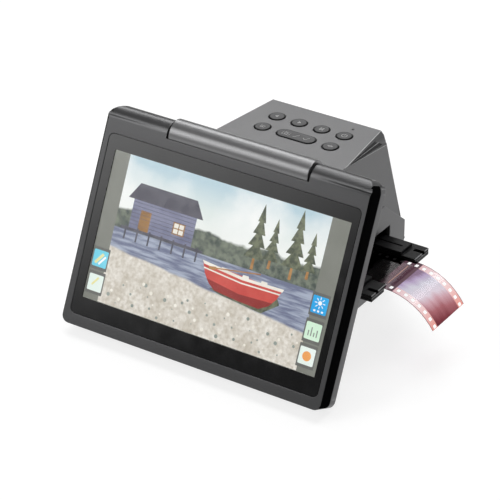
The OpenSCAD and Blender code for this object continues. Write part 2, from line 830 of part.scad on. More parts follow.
module screen_back_cover() color("#404143") on_screen() difference() {
  union() {
    difference() {
      back_form(0);
      difference() {
        slab([screen_shift - screen_half + screen_wall, screen_shift + screen_half - screen_wall],
             [-far, half_t - screen_wall], [-screen_drop + screen_wall, cavity_top]);
        // the rounded lower corners stay solid
        for (side = [-1, 1])
          translate([screen_shift + side * (screen_half - 3), 0, -screen_drop + 3])
            cube([screen_corner_r + 2, far, screen_corner_r + 2], center = true);
      }
    }
    // seats of the hinge arms
    both_sides() arm_spots(3.4, arm_leg_y[1], half_t - 1);
  }
  both_sides() {
    along_x(arm_room_x[0], arm_room_x[1], eye_r + arm_room);
    slab(arm_room_x, [0, arm_leg_y[1] + arm_room], [cavity_top - 1, 0]);
    arm_spots(arm_screw_r + 0.02, 0, half_t - 0.8);
    along_x(barrel_half, arm_in, pin_r + pin_room);
  }
  barrel_cutout();
  screen_bosses(screen_hole_r, 0, far);
  screen_bosses(screen_boss_r + 0.1, 0, half_t - screen_wall);
  screen_bosses(screen_head_r + 0.2, half_t - screen_head_sunk, far);
}

module screen_screws() color("#77797c") on_screen() {
  screen_bosses(screen_screw_r, -2, half_t - screen_head_sunk + 0.1);
  difference() {
    screen_bosses(screen_head_r, half_t - screen_head_sunk, half_t - 0.2);
    for (x = [-screen_boss_x, screen_boss_x], drop = screen_boss_drops)
      translate([x, half_t - 0.2, -drop]) for (turn = [0, 90]) rotate([0, turn, 0])
        cube([2.6, 1, 0.6], center = true);
  }
}

// ---------- film slot, light and camera ----------

module magnets(z, h) for (spot = magnet_spots) translate([spot[0], spot[1], z])
  cylinder(r = magnet_r, h = h);

module tray_guide() color("#161617") difference() {
  slab([-guide_half_len, guide_half_len], [-guide_half_out, guide_half_out],
       [guide_bottom_z, guide_top_z]);
  slab([-far, far], [-guide_half_in, guide_half_in], [guide_in_z, far]);
  slab([-window_w / 2 - 1, window_w / 2 + 1], [-window_h / 2 - 1, window_h / 2 + 1], [-far, 0]);
  for (spot = magnet_spots) translate([spot[0], spot[1], guide_bottom_z - 1])
    cylinder(r = magnet_r + 0.05, h = detent_magnet_t + 1);
}

detent_magnet_t = 2;
module detent_magnets() color("#a9abae") magnets(guide_bottom_z, detent_magnet_t);

module light_box() color("#e6e6e2") difference() {
  slab([-light_box_w / 2, light_box_w / 2], [-light_box_d / 2, light_box_d / 2],
       [floor_top_z, guide_bottom_z]);
  inner_w = light_box_w / 2 - light_box_wall;
  inner_d = light_box_d / 2 - light_box_wall;
  slab([-inner_w + diffuser_ledge, inner_w - diffuser_ledge],
       [-inner_d + diffuser_ledge, inner_d - diffuser_ledge],
       [floor_top_z + light_box_wall, guide_bottom_z + 1]);
  slab([-inner_w, inner_w], [-inner_d, inner_d], [guide_bottom_z - diffuser_t, guide_bottom_z + 1]);
}

diffuser_ledge = 1.5;
module diffuser() color("#f4f4f0") {
  half_w = light_box_w / 2 - light_box_wall - 0.1;
  half_d = light_box_d / 2 - light_box_wall - 0.1;
  slab([-half_w, half_w], [-half_d, half_d], [guide_bottom_z - diffuser_t, guide_bottom_z]);
}

led_board_half = [light_box_w / 2 - light_box_wall - 2, light_box_d / 2 - light_box_wall - 2];
led_board_z = floor_top_z + light_box_wall;
led_w = 3.5;
led_d = 2.8;
led_t = 1.9;
led_pitch_x = 14;
led_pitch_y = 18;
led_spots = [for (x = [-1, 0, 1], y = [-0.5, 0.5]) [x * led_pitch_x, y * led_pitch_y]];

module led_board() color("#e9e9e4") slab([-led_board_half[0], led_board_half[0]],
  [-led_board_half[1], led_board_half[1]], [led_board_z, led_board_z + board_t]);

module backlight_leds() color("#f2e6a0") for (spot = led_spots)
  translate([spot[0] - led_w / 2, spot[1] - led_d / 2, led_board_z + board_t])
    cube([led_w, led_d, led_t]);

module camera_shaft() color("#1b1b1c") difference() {
  union() {
    slab([-shaft_half_w - 1, shaft_half_w + 1], [-guide_half_out, guide_half_out],
         [slot_top, slot_top + shaft_plate]);
    slab([-shaft_half_w, shaft_half_w], [-shaft_half_d, shaft_half_d], [slot_top, shaft_top_z]);
  }
  slab([-shaft_half_w + shaft_wall, shaft_half_w - shaft_wall],
       [-shaft_half_d + shaft_wall, shaft_half_d - shaft_wall],
       [slot_top - 1, shaft_top_z - shaft_plate]);
  cylinder(r = lens_r + 0.05, h = far);
}

module lens_barrel() color("#232324") difference() {
  union() {
    translate([0, 0, lens_top_z - lens_len]) cylinder(r = lens_r, h = lens_len);
    translate([0, 0, shaft_top_z]) cylinder(r = lens_r + 2, h = lens_flange_t);
  }
  translate([0, 0, lens_top_z - lens_len - 1]) cylinder(r = lens_bore_r - lens_lip, h = far);
  translate([0, 0, lens_top_z - lens_len + lens_lip]) cylinder(r = lens_bore_r, h = far);
}

lens_front_r = 12;
module lens_glass() color("#aebfd6") translate([0, 0, lens_top_z - lens_len + lens_lip])
  intersection() {
    cylinder(r = lens_bore_r - 0.05, h = 2.6);
    translate([0, 0, lens_front_r]) sphere(r = lens_front_r);
  }

camera_board_half_w = 16;
camera_board_half_d = 14;
module camera_board() color("#1f5a3c") slab([-camera_board_half_w, camera_board_half_w],
  [-camera_board_half_d, camera_board_half_d], [lens_top_z, lens_top_z + board_t]);

sensor_half_w = 3.6;
sensor_half_d = 2.8;
sensor_t = 1.2;
module image_sensor() color("#2c2c33") slab([-sensor_half_w, sensor_half_w],
  [-sensor_half_d, sensor_half_d], [lens_top_z - sensor_t, lens_top_z]);

module main_board() color("#1f5a3c") slab([-main_board_half_w, main_board_half_w],
  [main_board_y, socket_y], [floor_top_z, seam_z - 2]);

module socket(size, open_h) difference() {
  slab([size[0] - size[1] / 2, size[0] + size[1] / 2], [socket_y, body_back - 0.4],
       [socket_z - size[2] / 2, socket_z + size[2] / 2]);
  slab([size[0] - size[1] / 2 + plug_wall, size[0] + size[1] / 2 - plug_wall],
       [body_back - plug_depth, far], [socket_z - open_h / 2, socket_z + open_h / 2]);
}

module usb_socket() color("#a8abae") socket(usb_size, usb_size[2] - 0.8);
module video_socket() color("#a8abae") socket(video_size, video_size[2] - 1);
module card_socket() color("#a8abae") socket(card_size, card_size[2] - 1.2);

// ---------- buttons ----------

// Margin of the button board round its posts, and behind them for the status light
button_board_margin = 2;
button_board_tail = 4.5;
module button_board() color("#1f5a3c")
  slab([-board_post_x - button_board_margin, board_post_x + button_board_margin],
       [front_row_y - front_post_out - button_board_margin, back_row_y + back_post_out + button_board_tail],
       [button_board_top_z - board_t, button_board_top_z]);

module tact_switches() color("#b7b9bc") for (spot = concat(button_spots, [long_spot]))
  translate([spot[0], spot[1], button_board_top_z]) {
    translate([-switch_w / 2, -switch_w / 2, 0]) cube([switch_w, switch_w, switch_h]);
    cylinder(r = actuator_r, h = switch_h + actuator_h);
  }

module status_light() color("#9fd6a0") translate([1.5 * button_pitch, status_y, button_board_top_z])
  cylinder(r = status_r, h = deck_z + 0.1 - button_board_top_z);

button_top_z = deck_z + button_proud;

module round_button(spot) translate([spot[0], spot[1], 0]) {
  translate([0, 0, flange_low_z]) cylinder(r = button_hole_r + flange_lip, h = flange_t);
  translate([0, 0, flange_low_z]) cylinder(r = button_hole_r - button_gap, h = button_top_z - flange_low_z);
}

module button_left() color("#3d3e40") round_button(button_spots[0]);
module button_right() color("#3d3e40") round_button(button_spots[1]);
module button_mode() color("#3d3e40") round_button(button_spots[2]);
module button_power() color("#3d3e40") round_button(button_spots[3]);
module button_gallery() color("#3d3e40") round_button(button_spots[4]);
module button_flip() color("#3d3e40") round_button(button_spots[5]);

module button_capture() color("#3d3e40")
  translate([long_spot[0], long_spot[1], flange_low_z]) {
    long_shape(long_hole_len + 2 * flange_lip, long_hole_w + 2 * flange_lip, flange_t);
    long_shape(long_hole_len - 2 * button_gap, long_hole_w - 2 * button_gap,
               button_top_z - flange_low_z);
  }

// ---------- tray and film ----------

module picture_window(grow) slab([-window_w / 2 - grow, window_w / 2 + grow],
  [-window_h / 2 - grow, window_h / 2 + grow], [-far, far]);

module film_tray_base() color("#1d1d1f") difference() {
  slab([-tray_half_len, tray_half_len], [-tray_half_w, tray_half_w], [-tray_low, play_z]);
  slab([-far, far], [-channel_half_w, channel_half_w], [-play_z, far]);
  picture_window(0);
  both_sides() slab([tray_half_len - thumb_notch, far], [-channel_half_w, channel_half_w], [-far, far]);
  for (spot = magnet_spots) translate([spot[0], spot[1], -tray_low - 1])
    cylinder(r = magnet_r + 0.05, h = 2.4);
}

module tray_magnets() color("#a9abae") magnets(-tray_low, 1.4);

// Groove along the top of each rail, from the middle
groove_y = 22.5;
groove_w = 1.2;
groove_d = 0.8;

module film_tray_cover() color("#262628") difference() {
  union() {
    slab([-tray_half_len, tray_half_len], [-tray_half_w, tray_half_w], [play_z, tray_rim_top]);
    slab([-rail_len / 2, rail_len / 2], [-rail_out, rail_out], [play_z, tray_top]);
  }
  // open channel at both ends, closed over the film in the middle
  both_sides() slab([tray_cover_len / 2, far], [-rail_in, rail_in], [-far, far]);
  slab([-tray_cover_len / 2 - 1, tray_cover_len / 2 + 1], [-rail_in, rail_in], [tray_rim_top, far]);
  picture_window(0.5);
  // notches between the flange and the rail at the ends, and the groove along each rail
  both_sides() for (y = [-1, 1]) {
    notch_y = y * (rail_out - end_notch_w / 2 - end_notch_out);
    slab([tray_half_len - end_notch_len, far],
         [notch_y - end_notch_w / 2, notch_y + end_notch_w / 2], [-far, far]);
    slab([-1, rail_len / 2 - 3], [y * groove_y - groove_w / 2, y * groove_y + groove_w / 2],
         [tray_top - groove_d, far]);
  }
}

film_arc = curl_r * curl_angle * PI / 180;
film_len = film_left + film_bend_x + film_arc;
// The bend starts midway between two sprocket holes
first_hole = (film_left + film_bend_x - hole_pitch / 2) % hole_pitch;
hole_count = floor((film_len - first_hole - hole_l) / hole_pitch);

// Turns a place along the film into one on its straight or curled stretch
module on_film(s) {
  past = s - film_left - film_bend_x;
  if (past <= 0) translate([s - film_left, 0, 0]) children();
  else translate([film_bend_x, 0, -curl_r]) rotate([0, past / curl_r * 180 / PI, 0])
    translate([0, 0, curl_r]) children();
}

// Points (x, z) on the curled stretch at a radius, from the bend to the free end
curl_steps = 24;
function curl_points(r) = [for (i = [0:curl_steps]) let (turn = i * curl_angle / curl_steps)
  [film_bend_x + r * sin(turn), r * cos(turn) - curl_r]];
function reversed(list) = [for (i = [len(list) - 1:-1:0]) list[i]];

module film_strip() color("#b5737f") difference() {
  translate([0, film_w / 2, 0]) rotate([90, 0, 0]) linear_extrude(film_w) polygon(concat(
    [[-film_left, film_half_t]], curl_points(curl_r + film_half_t),
    reversed(curl_points(curl_r - film_half_t)), [[-film_left, -film_half_t]]
  ));
  for (i = [0:hole_count], y = [-1, 1]) on_film(first_hole + i * hole_pitch)
    translate([0, y * hole_rows / 2, 0]) cube([hole_l, hole_w, 1], center = true);
}

upper_housing();
base_housing();
hinge_barrel();
barrel_caps();
hinge_pins();
hinge_nuts();
tray_guide();
detent_magnets();
light_box();
led_board();
backlight_leds();
diffuser();
camera_shaft();
lens_barrel();
lens_glass();
image_sensor();
camera_board();
main_board();
usb_socket();
video_socket();
card_socket();
button_board();
tact_switches();
status_light();
rubber_feet();
base_screws();
screen_bezel();
screen_trim_left();
screen_trim_right();
screen_glass();
lcd_panel();
display_board();
hinge_arm_left();
hinge_arm_right();
arm_screws();
screen_back_cover();
screen_screws();
film_tray_base();
film_tray_cover();
tray_magnets();
film_strip();
button_left();
button_right();
button_mode();
button_power();
button_gallery();
button_capture();
button_flip();
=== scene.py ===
# Looks of a film negative scanner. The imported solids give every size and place.
# Lengths are millimetres, and a piece becomes metres when it is finished. The studio and the
# finishes' relief and edge radii are in metres from the start.

import json
import logging
import math
from dataclasses import dataclass, field
from enum import Enum
from typing import Callable, Sequence

import bmesh
import bpy
from bmesh.types import BMesh, BMEdge, BMFace, BMVert
from bpy.types import Material, Node, NodeSocket, NodeTree, Object
from mathutils import Matrix, Vector
from mathutils.bvhtree import BVHTree


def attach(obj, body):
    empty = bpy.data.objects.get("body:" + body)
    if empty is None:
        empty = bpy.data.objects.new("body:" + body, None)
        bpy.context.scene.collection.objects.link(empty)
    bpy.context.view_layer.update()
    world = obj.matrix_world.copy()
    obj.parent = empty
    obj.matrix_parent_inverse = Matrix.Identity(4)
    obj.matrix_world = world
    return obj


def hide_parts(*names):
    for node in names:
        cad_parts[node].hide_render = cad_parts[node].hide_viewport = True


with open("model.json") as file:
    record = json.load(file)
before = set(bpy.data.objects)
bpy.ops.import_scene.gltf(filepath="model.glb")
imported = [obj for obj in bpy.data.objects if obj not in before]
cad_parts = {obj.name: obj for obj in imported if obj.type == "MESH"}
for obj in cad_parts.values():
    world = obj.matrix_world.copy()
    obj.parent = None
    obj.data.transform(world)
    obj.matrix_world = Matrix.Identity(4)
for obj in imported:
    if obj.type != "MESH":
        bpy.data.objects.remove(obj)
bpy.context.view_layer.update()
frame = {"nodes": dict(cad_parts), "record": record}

LOG = logging.getLogger("film_scanner")
MM = 0.001
Point2 = tuple[float, float]
Point3 = tuple[float, float, float]
Color = tuple[float, float, float, float]
Stops = tuple[tuple[float, str], ...]

HINGE_AXIS = (0.0, -35.4, 68.8)
SCREEN_LEAN = 24.7
DECK_Z = 56.5
BODY_BACK = 50.0
CUT_TIP = (43.0, -0.4, DECK_Z)

PURE_BLACK = (0.0, 0.0, 0.0, 1.0)
PURE_WHITE = (1.0, 1.0, 1.0, 1.0)
NOISE_MIDDLE = (0.3, 0.7)


def paint(code: str) -> Color:
    """Turns a six-digit screen colour into the linear colour that shaders take.

    Args:
        code: Red, green and blue as two hexadecimal digits each.

    Returns:
        The linear colour with a full alpha.
    """
    parts = [int(code[i:i + 2], 16) / 255 for i in (0, 2, 4)]
    linear = [c / 12.92 if c <= 0.04045 else ((c + 0.055) / 1.055) ** 2.4 for c in parts]
    return (linear[0], linear[1], linear[2], 1.0)


def shade(color: Color, factor: float) -> Color:
    """Returns a colour made darker or lighter by a factor, up to white."""
    return tuple(min(1.0, c * factor) for c in color[:3]) + (1.0,)


# ---------- shader building ----------


@dataclass
class ShaderBench:
    """A node tree with short calls for placing and wiring nodes."""

    tree: NodeTree

    def add(self, kind: str, **settings: object) -> Node:
        """Places a node and sets its properties.

        Args:
            kind: The node's type.
            settings: A value for each property.

        Returns:
            The node.
        """
        node = self.tree.nodes.new(kind)
        for name, value in settings.items():
            setattr(node, name, value)
        return node

    def wire(self, source: NodeSocket, target: NodeSocket) -> None:
        """Joins an output to an input."""
        self.tree.links.new(source, target)

    def feed(self, value: object, target: NodeSocket) -> None:
        """Wires a socket to an input, or sets the input to a plain value.

        Args:
            value: The socket or the value.
            target: The input.
        """
        if isinstance(value, NodeSocket):
            self.wire(value, target)
        else:
            target.default_value = value

    def fill(self, node: Node, values: dict[str, object]) -> None:
        """Feeds a socket or a plain value to each of a node's named inputs."""
        for name, value in values.items():
            self.feed(value, node.inputs[name])

    def math(self, operation: str, a: object, b: object = 0.0, clamp: bool = False) -> NodeSocket:
        """Places a Math node.

        Args:
            operation: The node's operation.
            a: First socket or number.
            b: Second socket or number.
            clamp: Whether the result stays within 0 and 1.

        Returns:
            The node's output.
        """
        node = self.add("ShaderNodeMath", operation=operation, use_clamp=clamp)
        self.feed(a, node.inputs[0])
        self.feed(b, node.inputs[1])
        return node.outputs[0]

    def blend(self, share: object, low: object, high: object) -> NodeSocket:
        """Mixes two colours.

        Args:
            share: How much of the second colour there is.
            low: The first colour.
            high: The second colour.

        Returns:
            The mixed colour.
        """
        node = self.add("ShaderNodeMix", data_type="RGBA")
        self.feed(share, node.inputs[0])
        self.feed(low, node.inputs[6])
        self.feed(high, node.inputs[7])
        return node.outputs[2]

    def tones(self, share: object, pair: tuple[str, str]) -> NodeSocket:
        """Mixes a pair of colour codes by a share and returns the result."""
        return self.blend(share, paint(pair[0]), paint(pair[1]))

    def sway(self, value: object, amount: float) -> NodeSocket:
        """Scales a value of 0 to 1 so that it sways about zero by half the amount."""
        return self.math("MULTIPLY", self.math("SUBTRACT", value, 0.5), amount)

    def window(self, value: NodeSocket, rise: Point2, fall: Point2) -> NodeSocket:
        """Returns 1 where a value lies between its rise and its fall, and 0 beyond them."""
        return self.math("MULTIPLY", self.span(value, rise), self.span(value, fall, (1.0, 0.0)))

    def span(self, value: NodeSocket, old: Point2, new: Point2 = (0.0, 1.0)) -> NodeSocket:
        """Maps a value from one range to another, clamped.

        Args:
            value: The value.
            old: The range that it comes from.
            new: The range that it goes to.

        Returns:
            The mapped value.
        """
        node = self.add("ShaderNodeMapRange")
        self.wire(value, node.inputs["Value"])
        for name, number in zip(("From Min", "From Max", "To Min", "To Max"), (*old, *new)):
            node.inputs[name].default_value = number
        return node.outputs["Result"]

    def noise(self, where: NodeSocket, scale: float, detail: float = 3.0) -> NodeSocket:
        """Places a noise pattern.

        Args:
            where: The coordinate.
            scale: Patches per metre, roughly.
            detail: How many finer layers it has.

        Returns:
            The pattern's value.
        """
        node = self.add("ShaderNodeTexNoise")
        self.wire(where, node.inputs["Vector"])
        node.inputs["Scale"].default_value = scale
        node.inputs["Detail"].default_value = detail
        return node.outputs["Fac"]

    def ramp(self, value: NodeSocket, stops: Stops) -> NodeSocket:
        """Runs a value through a colour ramp.

        Args:
            value: The value.
            stops: Place and colour code of each stop.

        Returns:
            The colour.
        """
        node = self.add("ShaderNodeValToRGB")
        marks = node.color_ramp.elements
        while len(marks) < len(stops):
            marks.new(0.5)
        for mark, (spot, code) in zip(marks, stops):
            mark.position = spot
            mark.color = paint(code)
        self.wire(value, node.inputs[0])
        return node.outputs[0]

    def place(self) -> NodeSocket:
        """Returns the piece's own object coordinates."""
        return self.add("ShaderNodeTexCoord").outputs["Object"]

    def stretch(self, where: NodeSocket, factors: Point3) -> NodeSocket:
        """Scales a coordinate along each axis.

        Args:
            where: The coordinate.
            factors: The scale along X, Y and Z.

        Returns:
            The scaled coordinate.
        """
        node = self.add("ShaderNodeVectorMath", operation="MULTIPLY")
        self.wire(where, node.inputs[0])
        node.inputs[1].default_value = factors
        return node.outputs["Vector"]

    def axes(self, where: NodeSocket) -> tuple[NodeSocket, NodeSocket, NodeSocket]:
        """Splits a coordinate.

        Args:
            where: The coordinate.

        Returns:
            Its values along X, Y and Z.
        """
        node = self.add("ShaderNodeSeparateXYZ")
        self.wire(where, node.inputs[0])
        return node.outputs[0], node.outputs[1], node.outputs[2]


VECTOR, NUMBER = "NodeSocketVector", "NodeSocketFloat"

CLOUD_SCALE = 0.015
SPECK_SCALE = 0.6
SPECK_HEIGHT = 0.5
FINE_DETAIL = 5.0
LEAST_EDGE_WEAR_AND_HIGHLIGHT = 0.45
BRUSH_STRETCH = (0.04, 1.0, 1.0)


@dataclass(frozen=True)
class Effect:
    """A pattern that several finishes share, kept as one node group."""

    name: str
    inputs: tuple[tuple[str, str, float], ...]
    outputs: tuple[str, ...]
    draw: Callable[[ShaderBench, Node, Node], None]

    def tree(self) -> NodeTree:
        """Builds the group the first time.

        Returns:
            The group.
        """
        known = bpy.data.node_groups.get(self.name)
        if known:
            return known
        made = bpy.data.node_groups.new(self.name, "ShaderNodeTree")
        for name, kind, value in self.inputs:
            socket = made.interface.new_socket(name=name, in_out="INPUT", socket_type=kind)
            if kind == NUMBER:
                socket.default_value = value
        for name in self.outputs:
            made.interface.new_socket(name=name, in_out="OUTPUT", socket_type=NUMBER)
        bench = ShaderBench(made)
        self.draw(bench, bench.add("NodeGroupInput"), bench.add("NodeGroupOutput"))
        return made

    def put(self, bench: ShaderBench, **values: object) -> Node:
        """Places the group in a material.

        Args:
            bench: The material's bench.
            values: A socket or number for each input.

        Returns:
            The group node.
        """
        node = bench.add("ShaderNodeGroup", node_tree=self.tree())
        bench.fill(node, values)
        return node


def draw_grain(bench: ShaderBench, start: Node, end: Node) -> None:
    """Moulded grain: fine pits for the height, and broad soft clouds for the tone.

    Args:
        bench: The group's bench.
        start: The group's input node.
        end: The group's output node.
    """
    pits = bench.add("ShaderNodeTexVoronoi", feature="SMOOTH_F1")
    clouds = bench.add("ShaderNodeTexNoise")
    specks = bench.add("ShaderNodeTexNoise")
    for node, factor in ((pits, 1.0), (clouds, CLOUD_SCALE), (specks, SPECK_SCALE)):
        bench.wire(start.outputs["Vector"], node.inputs["Vector"])
        bench.wire(bench.math("MULTIPLY", start.outputs["Scale"], factor), node.inputs["Scale"])
    clouds.inputs["Detail"].default_value = FINE_DETAIL
    bumps = bench.math("MULTIPLY", specks.outputs["Fac"], SPECK_HEIGHT)
    height = bench.math("ADD", pits.outputs["Distance"], bumps)
    bench.fill(end, {"Height": height, "Clouds": clouds.outputs["Fac"], "Specks": specks.outputs["Fac"]})


def draw_edge(bench: ShaderBench, start: Node, end: Node) -> None:
    """Mask of a piece's edges, from how far the rounded normal leaves the true one. It lightens the edges,
    partly as rubbing wear and partly as a painted highlight.

    Args:
        bench: The group's bench.
        start: The group's input node.
        end: The group's output node.
    """
    dot = bench.add("ShaderNodeVectorMath", operation="DOT_PRODUCT")
    bench.wire(start.outputs["Rounded"], dot.inputs[0])
    bench.wire(start.outputs["Actual"], dot.inputs[1])
    away = bench.math("SUBTRACT", 1.0, dot.outputs["Value"])
    uneven = bench.math("ADD", start.outputs["Clouds"], LEAST_EDGE_WEAR_AND_HIGHLIGHT)
    edge_wear_and_highlight = bench.math("MULTIPLY", away, uneven, clamp=True)
    bench.wire(bench.math("MULTIPLY", edge_wear_and_highlight, start.outputs["Amount"], clamp=True), end.inputs["Mask"])


def draw_brushing(bench: ShaderBench, start: Node, end: Node) -> None:
    """Fine parallel scratches along X, as rolled or brushed metal has.

    Args:
        bench: The group's bench.
        start: The group's input node.
        end: The group's output node.
    """
    where = bench.stretch(start.outputs["Vector"], BRUSH_STRETCH)
    lines = bench.add("ShaderNodeTexNoise")
    bench.fill(lines, {"Vector": where, "Scale": start.outputs["Scale"], "Detail": FINE_DETAIL})
    bench.wire(lines.outputs["Fac"], end.inputs["Lines"])


GRAIN = Effect(
    "moulded_grain",
    (("Vector", VECTOR, 0.0), ("Scale", NUMBER, 3500.0)),
    ("Height", "Clouds", "Specks"),
    draw_grain,
)
EDGE = Effect(
    "edge_mask",
    (("Rounded", VECTOR, 0.0), ("Actual", VECTOR, 0.0), ("Clouds", NUMBER, 0.5), ("Amount", NUMBER, 1.0)),
    ("Mask",),
    draw_edge,
)
BRUSHING = Effect(
    "brushed_lines",
    (("Vector", VECTOR, 0.0), ("Scale", NUMBER, 4000.0)),
    ("Lines",),
    draw_brushing,
)


# ---------- finishes ----------

BUMP_STRENGTH = 0.6


@dataclass(frozen=True)
class Finish:
    """A surface finish. Each kind fills in the shader of its own material."""

    name: str
    color: str

    def material(self) -> Material:
        """Builds the finish's material the first time.

        Returns:
            The material.
        """
        title = "finish_" + self.name
        known = bpy.data.materials.get(title)
        if known:
            return known
        made = bpy.data.materials.new(title)
        made.use_nodes = True
        bench = ShaderBench(made.node_tree)
        self.dress(bench, made.node_tree.nodes["Principled BSDF"])
        return made

    def dress(self, bench: ShaderBench, shader: Node) -> None:
        """Wires the finish's pattern into the shader."""
        raise NotImplementedError

    def bump(self, bench: ShaderBench, shader: Node, height: NodeSocket, depth: float,
             normal: NodeSocket | None = None) -> None:
        """Wires a height pattern into the shader's normal.

        Args:
            bench: The material's bench.
            shader: The Principled shader.
            height: The pattern.
            depth: How deep the pattern is, in metres.
            normal: A normal that the pattern starts from.
        """
        node = bench.add("ShaderNodeBump")
        bench.fill(node, {"Strength": BUMP_STRENGTH, "Distance": depth, "Height": height})
        if normal:
            bench.wire(normal, node.inputs["Normal"])
        bench.wire(node.outputs["Normal"], shader.inputs["Normal"])


@dataclass(frozen=True)
class MouldedPlastic(Finish):
    """Injection-moulded plastic with a fine grain and softened edges, made lighter partly as rubbing wear
    and partly as a painted highlight.
    """

    roughness: float = 0.42
    mottle: float = 0.05
    grain: float = 3500.0
    depth: float = 0.00002
    edge_r: float = 0.0004
    edge_amount: float = 1.6
    # how much lighter the edges get: rubbing wear and a painted highlight
    edge_wear_and_highlight_lift: float = 1.5
    metal: float = 0.0
    gloss: float = 0.5
    uneven: float = 0.05
    edge_samples: int = 4

    def dress(self, bench: ShaderBench, shader: Node) -> None:
        """Wires grain, tone, rounded edges, and edges lightened partly as wear and partly as a painted
        highlight.

        Args:
            bench: The material's bench.
            shader: The Principled shader.
        """
        base = paint(self.color)
        grain = GRAIN.put(bench, Vector=bench.place(), Scale=self.grain)
        bevel = bench.add("ShaderNodeBevel", samples=self.edge_samples)
        bevel.inputs["Radius"].default_value = self.edge_r
        actual = bench.add("ShaderNodeNewGeometry").outputs["Normal"]
        edge = EDGE.put(bench, Rounded=bevel.outputs["Normal"], Actual=actual,
                        Clouds=grain.outputs["Clouds"], Amount=self.edge_amount)
        low, high = shade(base, 1 - self.mottle), shade(base, 1 + self.mottle)
        tone = bench.blend(grain.outputs["Clouds"], low, high)
        # wear and painted highlight: the edge mask lightens the base colour at the edges
        edge_wear_and_highlight = bench.blend(edge.outputs["Mask"], tone, shade(base, self.edge_wear_and_highlight_lift))
        rough = (self.roughness - self.uneven, self.roughness + self.uneven)
        soft = bench.span(grain.outputs["Specks"], NOISE_MIDDLE, rough)
        self.bump(bench, shader, grain.outputs["Height"], self.depth, bevel.outputs["Normal"])
        bench.fill(shader, {"Base Color": edge_wear_and_highlight, "Roughness": soft, "Metallic": self.metal,
                            "Specular IOR Level": self.gloss})


@dataclass(frozen=True)
class PolishedPlastic(Finish):
    """Smooth, glossy moulding with faint wipe marks."""

    roughness: float = 0.12
    gloss: float = 0.5
    marks: Point2 = (90.0, 5.0)
    mark_lift: float = 1.25
    marked: Point2 = (0.35, 0.7)
    duller: float = 0.1
    waves: Point2 = (400.0, 2.0)
    depth: float = 0.000004

    def dress(self, bench: ShaderBench, shader: Node) -> None:
        """Wires the tone and the wipe marks.

        Args:
            bench: The material's bench.
            shader: The Principled shader.
        """
        base = paint(self.color)
        where = bench.place()
        marks = bench.noise(where, *self.marks)
        tone = bench.blend(marks, base, shade(base, self.mark_lift))
        wiped = bench.span(marks, self.marked, (self.roughness, self.roughness + self.duller))
        bench.fill(shader, {"Base Color": tone, "Roughness": wiped, "Specular IOR Level": self.gloss})
        self.bump(bench, shader, bench.noise(where, *self.waves), self.depth)


@dataclass(frozen=True)
class SheetMetal(Finish):
    """Plated or brushed metal."""

    roughness: float = 0.3
    brushing: float = 4000.0
    line_tones: Point2 = (0.8, 1.15)
    smoother: float = 0.08
    rougher: float = 0.1
    depth: float = 0.000006

    def dress(self, bench: ShaderBench, shader: Node) -> None:
        """Wires the brushed lines into colour, roughness and relief.

        Args:
            bench: The material's bench.
            shader: The Principled shader.
        """
        base = paint(self.color)
        lines = BRUSHING.put(bench, Vector=bench.place(), Scale=self.brushing).outputs["Lines"]
        tone = bench.blend(lines, *(shade(base, factor) for factor in self.line_tones))
        ends = (self.roughness - self.smoother, self.roughness + self.rougher)
        rough = bench.span(lines, NOISE_MIDDLE, ends)
        bench.fill(shader, {"Base Color": tone, "Roughness": rough, "Metallic": 1.0})
        self.bump(bench, shader, lines, self.depth)


@dataclass(frozen=True)
class Rubber(Finish):
    """Matt rubber with dust in its grain."""

    roughness: float = 0.85
    grain: float = 2500.0
    dusty: Point2 = (0.45, 0.75)
    dust_lift: float = 1.8
    depth: float = 0.00004

    def dress(self, bench: ShaderBench, shader: Node) -> None:
        """Wires the dust and the grain.

        Args:
            bench: The material's bench.
            shader: The Principled shader.
        """
        base = paint(self.color)
        grain = GRAIN.put(bench, Vector=bench.place(), Scale=self.grain)
        dust = bench.span(grain.outputs["Clouds"], self.dusty)
        tone = bench.blend(dust, base, shade(base, self.dust_lift))
        bench.fill(shader, {"Base Color": tone, "Roughness": self.roughness})
        self.bump(bench, shader, grain.outputs["Height"], self.depth)


@dataclass(frozen=True)
class CircuitBoard(Finish):
    """Solder mask with copper tracks under it."""

    roughness: float = 0.35
    tracks: float = 260.0
    track_width: float = 0.04
    track_lift: float = 1.9
    depth: float = 0.00003

    def dress(self, bench: ShaderBench, shader: Node) -> None:
        """Wires the tracks into colour and relief.

        Args:
            bench: The material's bench.
            shader: The Principled shader.
        """
        base = paint(self.color)
        bricks = bench.add("ShaderNodeTexBrick", offset=0.5)
        bench.fill(bricks, {"Vector": bench.place(), "Scale": self.tracks, "Mortar Size": self.track_width})
        tone = bench.blend(bricks.outputs["Fac"], base, shade(base, self.track_lift))
        bench.fill(shader, {"Base Color": tone, "Roughness": self.roughness})
        self.bump(bench, shader, bricks.outputs["Fac"], self.depth)


@dataclass(frozen=True)
class Patches:
    """A noise as a share: its scale and detail, the range that counts, and the most it gives."""

    scale: float
    detail: float
    spread: Point2
    most: float = 1.0

    def share(self, bench: ShaderBench, where: NodeSocket) -> NodeSocket:
        """Places the noise and returns the share."""
        return bench.span(bench.noise(where, self.scale, self.detail), self.spread, (0.0, self.most))


